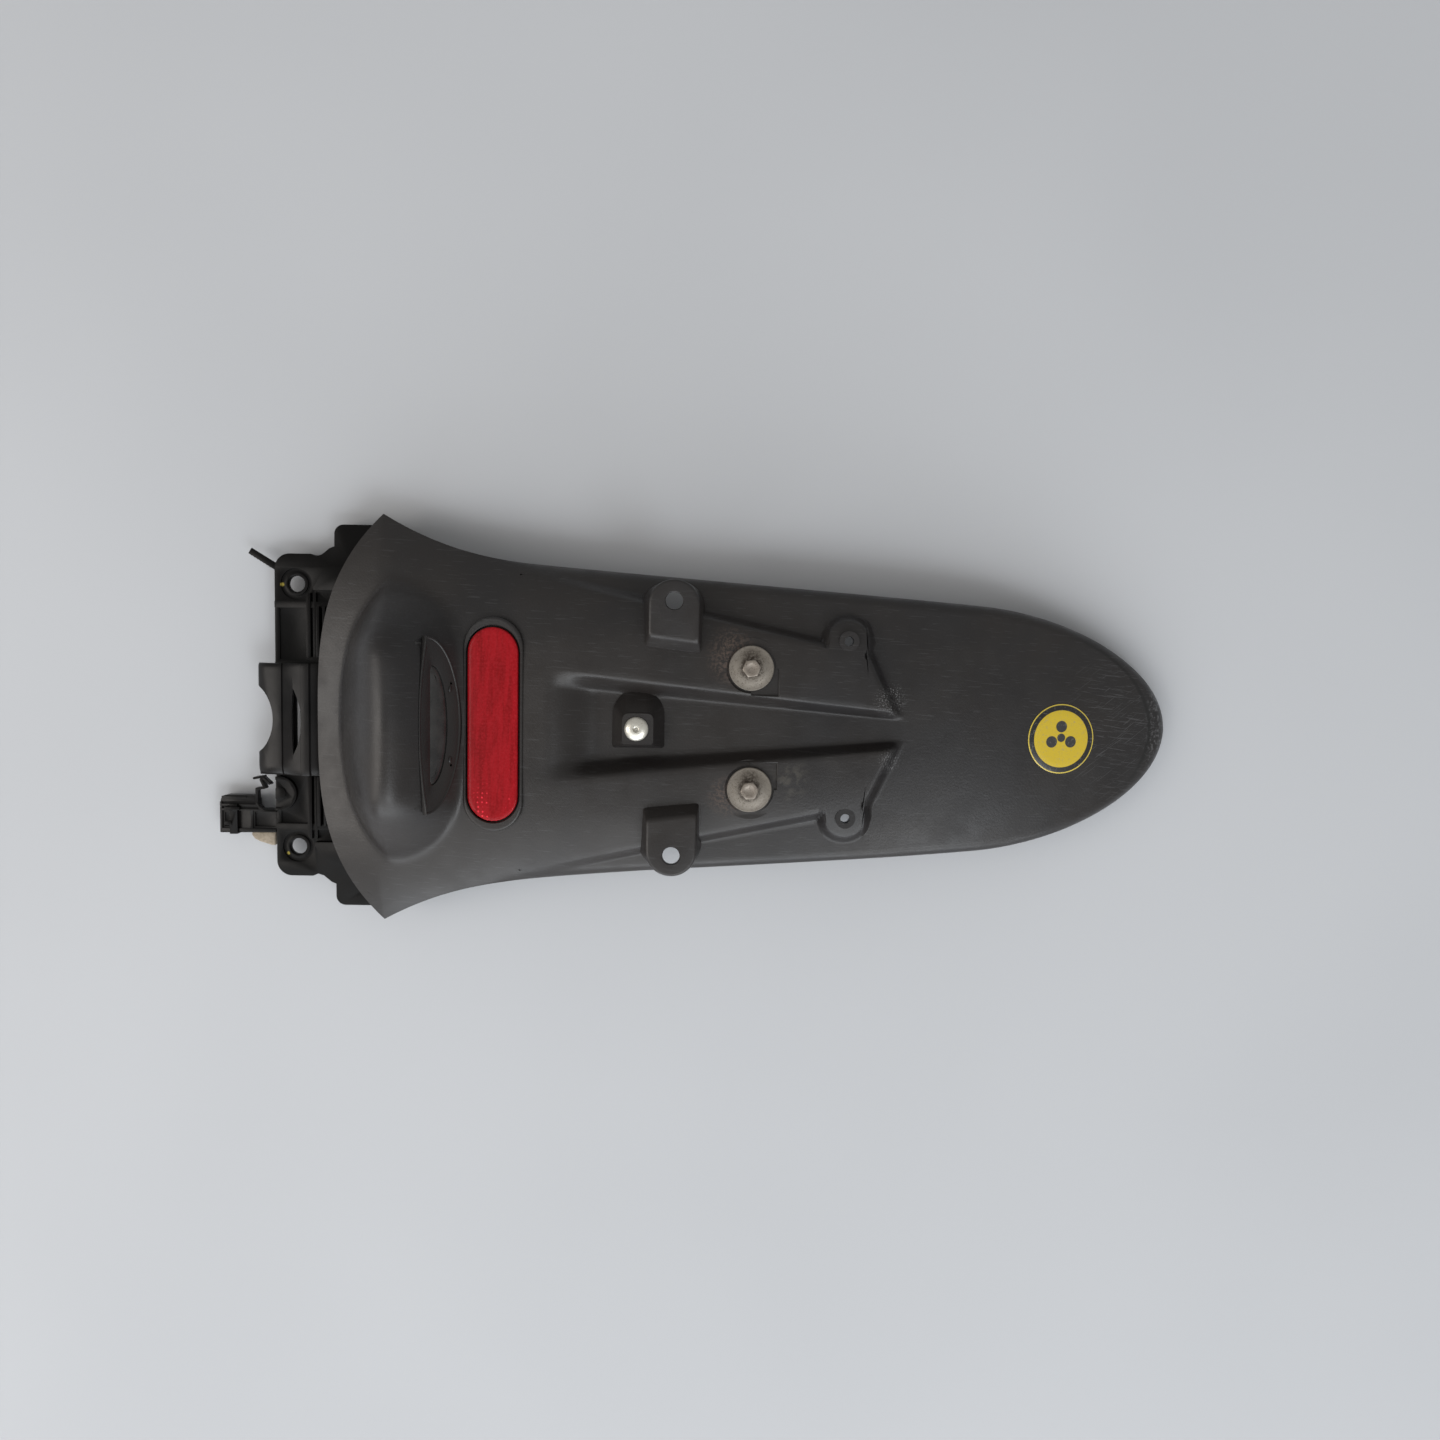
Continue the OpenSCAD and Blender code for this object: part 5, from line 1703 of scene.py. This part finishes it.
    def hook(self, finish: bpy.types.Material) -> bpy.types.Object:
        """Build the open hook on the flange's front edge.

        Args:
            finish: the piece's material.

        Returns:
            The hook, which stands for its CAD node.
        """
        x, y, t, low, high = -self.front, -45.5, 0.65, -2.6, 1.8
        r, bend = 5.0, x - 10.0
        elbow = np.vstack([arc(x - 5, y, r + t, 180, 270, 16), [[x + 0.3, y - r - t], [x + 0.3, y - r + t]],
                           arc(x - 5, y, r - t, 270, 180, 16)])
        piece = mesh_object("hook_look", prism(elbow, low, high))
        path = [(0, -0.2), (0, 6.6), (4.2, 7.2), (2.3, 11.5), (3.3, 13.1), (-1.3, 12.2)]
        legs = [*zip(path, path[1:]), ((3.0, 12.8), (6.8, 9.4))]
        bars = [self.capsule((bend + a[0], y + a[1]), (bend + b[0], y + b[1]), t) for a, b in legs]
        carve(piece, [(Cut.ADD, prism(bar, low, high)) for bar in bars])
        soften(piece, 0.15)
        shade(piece, 38)
        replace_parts(piece, "cable_hook")
        return wear(piece, finish, "bracket_plastic")

    @staticmethod
    def capsule(a: tuple[float, float], b: tuple[float, float], radius: float) -> Points:
        """Return the outline of a round-ended bar from a to b."""
        way = math.degrees(math.atan2(b[1] - a[1], b[0] - a[0]))
        return np.vstack([arc(*b, radius, way - 90, way + 90, 9), arc(*a, radius, way + 90, way + 270, 9)])


@dataclass
class Saddle:
    """The saddle over the flange's middle: a stepped crown with rolled ends, a notch and a window."""

    y: float = -1.4
    half: float = 29.5
    left: float = -19.8
    right: float = 15.0
    notch: tuple[float, float] = (-10.5, 19.0)
    window: tuple[float, float, float] = (0.4, -2.5, 17.5)
    feet: tuple[tuple[float, float], ...] = ((-11.5, 5.0), (8.6, 7.5))
    low_roll: tuple[float, float] = (5.5, 3.4)
    high_roll: tuple[float, float] = (2.5, 1.4)
    stations: tuple[float, ...] = (29.5, 29.2, 28.4, 27.2, 25.6, 23.5, 0.0, -22.0, -24.5, -26.4, -27.8, -28.8,
                                   -29.3, -29.5)

    def crown(self) -> tuple[Points, Points]:
        """Return the section's upper and lower lines, from left to right.

        Returns:
            The two lines as (x, z) points.
        """
        a, b = self.left, self.right
        upper = np.array([[a, 1.4], [a + 0.4, 3.0], [a + 1.6, 4.6], [-13, 6.9], [-5.6, 8.4], [-5.1, 7.5],
                          [0.2, 8.0], [4.4, 8.6], [4.9, 9.7], [9.2, 9.9], [9.9, 8.7], [14.0, 7.7], [b, 4.6]])
        lower = upper - np.array([0.0, 1.9])
        lower[0] = [a + 2.0, 1.4]
        lower[1] = [a + 2.2, 2.2]
        lower[2] = [a + 2.6, 3.0]
        lower[-1] = [b - 1.7, 4.0]
        return upper, np.maximum(lower, [-99, 0.4])

    def build(self, finish: bpy.types.Material) -> bpy.types.Object:
        """Build the saddle, which stands for its CAD node.

        Args:
            finish: the piece's material.

        Returns:
            The piece, which stands for its CAD node.
        """
        upper, lower = self.crown()
        section = np.vstack([lower, upper[::-1]])
        share = np.where(section[:, 0] < -4.8, 1.0, 0.35)
        rings = []
        for y in self.stations:
            reach, fall = self.low_roll if y < 0 else self.high_roll
            d = max(0.0, abs(y) - (self.half - reach)) / reach
            drop = share * fall * (1 - math.sqrt(max(0.0, 1 - d * d)))
            ring = section - np.column_stack([np.zeros(len(section)), np.minimum(drop, section[:, 1] * 0.6)])
            rings.append(np.column_stack([ring, np.full(len(ring), -(self.y + y))]))
        turn = Matrix.Rotation(math.pi / 2, 4, "X")
        piece = mesh_object("saddle_look", loft(rings).placed(turn), 30)
        ys = np.linspace(1, -1, 25)
        nx, nh = self.notch
        start = self.left - 5
        notch = np.column_stack([start + (nx - start) * np.sqrt(1 - ys * ys), ys[::-1] * nh + self.y])
        wx, wy, wh = self.window
        bow = 1 - ys * ys
        window = np.vstack([np.column_stack([wx + 4.6 * bow, ys[::-1] * wh + wy])[1:-1],
                            np.column_stack([wx - 0.7 * bow, ys * wh + wy])])
        steps = []
        for x, top in self.feet:
            for side in (-1, 1):
                middle = self.y + side * 22.5
                steps.append((Cut.ADD, block((x, middle - 2, 0.0), (x + 2.5, middle + 2, top))))
        steps += [(Cut.REMOVE, prism(notch, -1, 20)), (Cut.REMOVE, prism(window, -1, 20))]
        carve(piece, steps)
        soften(piece, 0.25)
        shade(piece, 34)
        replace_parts(piece, "cable_guide")
        return wear(piece, finish, "bracket_plastic")


@dataclass
class Connector:
    """The plug arm beside the hook, its band and the seal beneath."""

    x: float = -43.0
    y: tuple[float, float] = (-63.5, -43.2)
    z: tuple[float, float] = (-9.5, -3.0)
    neck: tuple[float, float, float] = (-24.0, -63.0, -51.0)
    end: float = -11.65
    band_start: float = 5.6
    band_width: float = 4.2
    band_end: float = -47.6

    def body(self, finish: bpy.types.Material) -> bpy.types.Object:
        """Build the arm: a block with a rounded corner, rails and a sunk middle.

        Args:
            finish: the piece's material.

        Returns:
            The arm, which stands for its CAD node.
        """
        (low, high), (z0, z1) = self.y, self.z
        nx, n0, n1 = self.neck
        shape = np.vstack([[[self.x, low], [self.end, n0], [self.end, n1], [nx + 1.5, n1 + 0.3]],
                           arc(nx - 2, high - 3, 3, 0, 90, 8),
                           arc(self.x + 3.5, high - 3.5, 3.5, 90, 180, 8)])
        piece = mesh_object("connector_look", prism(shape, z0, z1 - 0.8))
        x, base = self.x, z0 + 1
        rails = [block((x + 0.8, y, base), (x + length, y + w, z1 + top)) for y, w, length, top in (
            (-48.9, 1.0, 20.5, 0.1), (-51.4, 1.0, 30.0, 0.1), (n0 + 0.3, 1.7, 30.0, 0.2),
            (high - 1.6, 1.0, 14.0, -0.2))]
        rails += [block((x, low + 0.3, base), (x + 1.2, high - 3.6, z1)),
                  block((x + 16, n0 + 1, base), (x + 17.6, -51, z1))]
        cuts = [block((x + 18.5, -60.0, z1 - 2.4), (x + 29.5, -52.2, z1 + 3)),
                block((x + 2.4, -60.0, z1 - 1.6), (x + 7, -52.6, z1 + 3))]
        carve(piece, [(Cut.ADD, s) for s in rails] + [(Cut.REMOVE, s) for s in cuts])
        soften(piece, 0.25)
        shade(piece, 38)
        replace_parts(piece, "connector_body")
        return wear(piece, finish, "bracket_plastic")

    def band(self, finish: bpy.types.Material) -> bpy.types.Object:
        """Build the band over the arm, with two cross bars.

        Args:
            finish: the piece's material.

        Returns:
            The band, which stands for its CAD node.
        """
        z0, z1 = self.z
        low, high, x, width = self.neck[1] - 0.9, self.band_end, self.x + self.band_start, self.band_width
        piece = mesh_object("band_look", block((x, low, z1 + 0.3), (x + width, high, z1 + 1.4)))
        carve(piece, [(Cut.ADD, s) for s in (
            block((x, low, z0 - 1.0), (x + width, low + 0.8, z1 + 1.0)),
            block((x, low, z0 - 1.0), (x + width, high, z0 - 0.1)),
            block((x - 2.6, high - 3.4, z1 + 0.6), (x + 5.6, high - 1.6, z1 + 1.9)),
            block((x - 2.6, high - 11.5, z1 + 0.6), (x + 1.2, high - 9.3, z1 + 1.9)))])
        soften(piece, 0.2)
        shade(piece, 38)
        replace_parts(piece, "connector_strap")
        return wear(piece, finish, "bracket_plastic")

    def seal(self, finish: bpy.types.Material) -> bpy.types.Object:
        """Build the soft seal that shows below the arm.

        Args:
            finish: the piece's material.

        Returns:
            The seal, which stands for its CAD node.
        """
        z0 = self.z[0]
        edge = np.array([[-14.0, -63.1], [-27.0, -63.1], [-27.2, -64.8], [-25.6, -67.0], [-22.8, -68.4],
                         [-19.5, -69.4], [-16.6, -70.3], [-14.2, -70.4]])
        piece = mesh_object("seal_look", prism(edge, z0 - 0.5, z0 + 4.2))
        soften(piece, 0.8, 3)
        shade(piece, 50)
        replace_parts(piece, "connector_seal")
        return wear(piece, finish, "seal_plastic")


@dataclass
class TieStrap:
    """The narrow strap at the flange's corner, with a row of teeth along its lower edge."""

    place: tuple[float, float, float] = (-12.8, 79.1, -4.5)
    start: tuple[float, float, float] = (-24.6, 84.9, -3.8)
    turn: float = -31.4
    pitch: float = 1.9
    count: int = 7
    tooth: tuple[float, float, float] = (1.0, 1.0, 1.1)

    def tree(self, finish: bpy.types.Material) -> bpy.types.NodeTree:
        """Return the node tree that sets teeth along a line and joins them to the strap.

        Args:
            finish: the piece's material.

        Returns:
            The node tree.
        """
        tree = bpy.data.node_groups.new("strap_teeth", "GeometryNodeTree")
        tree.interface.new_socket("Geometry", in_out="INPUT", socket_type="NodeSocketGeometry")
        kinds = {"Start": "Vector", "Pitch": "Vector", "Count": "Int", "Tooth": "Vector", "Turn": "Vector"}
        for name, kind in kinds.items():
            tree.interface.new_socket(name, in_out="INPUT", socket_type=f"NodeSocket{kind}")
        tree.interface.new_socket("Geometry", in_out="OUTPUT", socket_type="NodeSocketGeometry")
        given, line, tooth, copies, real, both, dressed, result = (
            tree.nodes.new(kind) for kind in (
                "NodeGroupInput", "GeometryNodeMeshLine", "GeometryNodeMeshCube",
                "GeometryNodeInstanceOnPoints", "GeometryNodeRealizeInstances",
                "GeometryNodeJoinGeometry", "GeometryNodeSetMaterial", "NodeGroupOutput"))
        dressed.inputs["Material"].default_value = finish
        for source, target in (
            (given.outputs["Count"], line.inputs["Count"]),
            (given.outputs["Start"], line.inputs["Start Location"]),
            (given.outputs["Pitch"], line.inputs["Offset"]),
            (given.outputs["Tooth"], tooth.inputs["Size"]),
            (given.outputs["Turn"], copies.inputs["Rotation"]),
            (line.outputs[0], copies.inputs["Points"]),
            (tooth.outputs[0], copies.inputs["Instance"]),
            (copies.outputs[0], real.inputs[0]),
            (real.outputs[0], both.inputs[0]),
            (given.outputs["Geometry"], both.inputs[0]),
            (both.outputs[0], dressed.inputs["Geometry"]),
            (dressed.outputs[0], result.inputs[0]),
        ):
            tree.links.new(source, target)
        return tree

    def build(self, finish: bpy.types.Material) -> bpy.types.Object:
        """Build the strap with softened edges and its teeth.

        Args:
            finish: the piece's material.

        Returns:
            The piece, which stands for its CAD node.
        """
        x, y, z = self.place
        turn = Matrix.Translation((x, y, z)) @ Matrix.Rotation(math.radians(self.turn), 4, "Z")
        strap = mesh_object("strap_look", block((-15.0, -1.7, 0.0), (5.0, 1.7, 1.3)).placed(turn))
        soften(strap, 0.2)
        change = strap.modifiers.new("teeth", "NODES")
        change.node_group = self.tree(finish)
        way = math.radians(self.turn)
        step = Vector((math.cos(way), math.sin(way), 0.0)) * self.pitch * MM
        values = {"Start": Vector(self.start) * MM, "Pitch": step, "Count": self.count,
                  "Tooth": Vector(self.tooth) * MM, "Turn": Vector((0.0, 0.0, way + math.pi / 4))}
        for item in change.node_group.interface.items_tree:
            if item.in_out == "INPUT" and item.name in values:
                change[item.identifier] = values[item.name]
        bake_modifiers(strap)
        shade(strap, 38)
        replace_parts(strap, "tie_strap")
        return wear(strap, finish, "bracket_plastic")


@dataclass(frozen=True)
class Lamp:
    """A soft rectangular lamp, with its place and size in metres and its power in watts."""

    name: str
    place: tuple[float, float, float]
    size: tuple[float, float]
    power: float
    tint: tuple[float, float, float]

    def hang(self, aim: tuple[float, float, float]) -> None:
        """Hang the lamp in the scene.

        Args:
            aim: the place in metres that it points at.
        """
        data = bpy.data.lights.new(self.name, "AREA")
        data.shape = "RECTANGLE"
        data.size, data.size_y = self.size
        data.energy = self.power
        data.color = self.tint
        holder = bpy.data.objects.new(self.name, data)
        bpy.context.scene.collection.objects.link(holder)
        holder.location = self.place
        way = Vector(aim) - Vector(self.place)
        holder.rotation_euler = way.to_track_quat("-Z", "Y").to_euler()


@dataclass
class Studio:
    """The floor, the light and the camera."""

    floor_z: float = -12.0
    floor_reach: float = 3000.0
    camera: tuple[float, float, float] = (223.06, 47.12, 634.33)
    tilt: tuple[float, float] = (-4.103, 0.957)
    lens: float = 30.0
    room: float = 0.46
    aim: tuple[float, float, float] = (0.23, 0.0, 0.0)
    lamps: tuple[Lamp, ...] = (
        Lamp("near_window", (0.0, -2.3, 2.2), (4.2, 2.4), 60.0, (0.95, 0.98, 1.0)),
        Lamp("right_window", (1.5, -1.7, 2.4), (1.3, 1.3), 24.0, (0.92, 0.96, 1.0)),
        Lamp("low_window", (0.3, -2.2, 0.6), (3.6, 0.8), 34.0, (0.9, 0.95, 1.0)),
        Lamp("front_fill", (-1.2, -0.2, 1.0), (0.9, 1.2), 12.0, (1.0, 0.95, 0.9)),
    )

    def floor(self) -> None:
        """Lay a wide pale floor under the part."""
        r = self.floor_reach
        flat = np.array([[-r, -r], [r, -r], [r, r], [-r, r]])
        floor = mesh_object("floor", prism(flat, self.floor_z - 20, self.floor_z))
        paint = Paint("pale_floor")
        soft = paint.remap(paint.noise(3, 2, 0.5), 0.3, 0.7)
        paint.colour(paint.blend(soft, (0.425, 0.435, 0.455), (0.445, 0.455, 0.475)))
        paint.constant(Roughness=0.85)
        floor.data.materials.append(paint.material)

    def lights(self) -> None:
        """Hang a large soft light over the near side, and light the rest evenly."""
        world = bpy.data.worlds.new("soft_room")
        world.use_nodes = True
        background = world.node_tree.nodes["Background"]
        background.inputs["Color"].default_value = (1.0, 0.99, 0.965, 1.0)
        background.inputs["Strength"].default_value = self.room
        bpy.context.scene.world = world
        for lamp in self.lamps:
            lamp.hang(self.aim)

    def shoot(self) -> None:
        """Set the camera above, leaning a little to the left side, as the photograph has it."""
        data = bpy.data.cameras.new("camera")
        data.sensor_width = 36.0
        data.lens = self.lens
        data.clip_start = 0.01
        holder = bpy.data.objects.new("camera", data)
        holder.location = tuple(v * MM for v in self.camera)
        holder.rotation_euler = (math.radians(self.tilt[0]), 0, math.radians(self.tilt[1]))
        bpy.context.scene.collection.objects.link(holder)
        bpy.context.scene.camera = holder
        bpy.context.scene.view_settings.view_transform = "Standard"


def finishes(shell: Shell) -> dict[str, bpy.types.Material]:
    """Build the finishes that several pieces share.

    Args:
        shell: the shell, whose bolts place the painted head shadows and the dark rings on the washers.

    Returns:
        The materials by short names.
    """
    bolts = [(shell.bolt_x, s * shell.bolt_spacing / 2) for s in (-1, 1)]
    # Painted shadow: a brown patch 5 mm to the +Y side of each bolt, away from the lamps, stands for the
    # shadow its head casts on the washer; a second patch darkens a ring round the foot of each head.
    stains_and_head_shadows = tuple((x, y + 5.0, 2.0, 6.5) for x, y in bolts) + tuple((x, y, 5.0, 6.6) for x, y in bolts)
    made = {
        "shell": GrainedPlastic("shell_plastic", (0.012, 0.011, 0.0115), (0.016, 0.0135, 0.0125),
                                roughness=0.40, grain=0.3, wear=ShellWearAndShade()),
        "dark": GrainedPlastic("bracket_plastic", (0.001, 0.0009, 0.0009), (0.003, 0.0025, 0.0024),
                               roughness=0.36, grain=0.12, grain_scale=1100, shine=0.14,
                               spots=((-7.6, 69.3, 1.3), (-5.6, -73.5, 1.2))),
        "saddle": GrainedPlastic("saddle_plastic", (0.004, 0.0037, 0.0037), (0.008, 0.007, 0.0068),
                                 roughness=0.34, grain=0.12, grain_scale=1100, shine=0.2),
        "cover": GrainedPlastic("cover_plastic", (0.012, 0.011, 0.011), (0.015, 0.013, 0.012),
                                roughness=0.36, grain=0.3, grain_scale=1000),
        "rusty": WornMetal("corroded_steel", (0.185, 0.165, 0.14), (0.05, 0.038, 0.028), (0.03, 0.02, 0.014),
                           metallic=0.5, roughness=0.42, specks=1.0, stained=stains_and_head_shadows),
        "head": WornMetal("bolt_steel", (0.23, 0.20, 0.17), (0.07, 0.05, 0.035), (0.06, 0.04, 0.03),
                          metallic=0.55, roughness=0.38, specks=0.9),
        "zinc": WornMetal("zinc_steel", (0.42, 0.41, 0.39), (0.2, 0.19, 0.17), (0.1, 0.08, 0.06),
                          metallic=0.9, roughness=0.35),
        "bright": WornMetal("bright_rivet", (0.62, 0.60, 0.54), (0.25, 0.22, 0.17), (0.1, 0.1, 0.1),
                            metallic=0.75, roughness=0.3),
        "rubber": DustyMatt("soft_rubber", (0.012, 0.012, 0.012), (0.03, 0.028, 0.026)),
        "grey": DustyMatt("grey_plastic", (0.5, 0.5, 0.48), (0.42, 0.42, 0.4), 0.5),
        "beige": DustyMatt("seal_plastic", (0.30, 0.25, 0.19), (0.20, 0.165, 0.12), 0.6),
        "glass": ClearGlass(),
    }
    return {key: finish.build() for key, finish in made.items()}


def main() -> None:
    """Build the pieces in order and dress them."""
    logging.basicConfig(level=logging.INFO, format="%(message)s")
    form = ShellForm()
    shell, lamp = Shell(form), PlateLamp(form)
    studio = Studio()
    studio.floor()
    studio.lights()
    studio.shoot()

    look = finishes(shell)
    shell.build(lamp, look["shell"])
    lamp.cover(look["cover"])
    lamp.lens(SmokedWindow().build())
    Reflector(shell).lens(ClearRed().build())
    bolts = DeckBolts(shell)
    for side in Side:
        bolts.washer(side, look["rusty"])
        bolts.bolt(side, look["head"])
    bolts.rivet(look["bright"])
    label = Label(form)
    label.build(RoundLabel(label.centre, label.radius).build())

    bracket = Bracket(form)
    bracket.build(look["dark"])
    bracket.hook(look["dark"])
    Saddle().build(look["saddle"])
    plug = Connector()
    plug.body(look["saddle"])
    plug.band(look["dark"])
    plug.seal(look["beige"])
    TieStrap().build(look["dark"])
    wear(softened("support_plate", 0.3), look["zinc"], "zinc_steel")

    plain = {
        "rubber": ("lamp_gasket", "lamp_socket", "grommet_right", "grommet_left"),
        "grey": ("lamp_body",),
        "zinc": ("reflector_washers", "reflector_nuts", "collar_right", "collar_left", "weld_nut_right",
                 "weld_nut_left", "bracket_screws"),
        "bright": ("rivet_washer",),
        "dark": ("reflector_base",),
        "glass": ("lamp_bulb",),
    }
    for finish, nodes in plain.items():
        for node in nodes:
            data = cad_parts[node].data
            data.materials.clear()
            data.materials.append(look[finish])


if __name__ == "__main__":
    main()
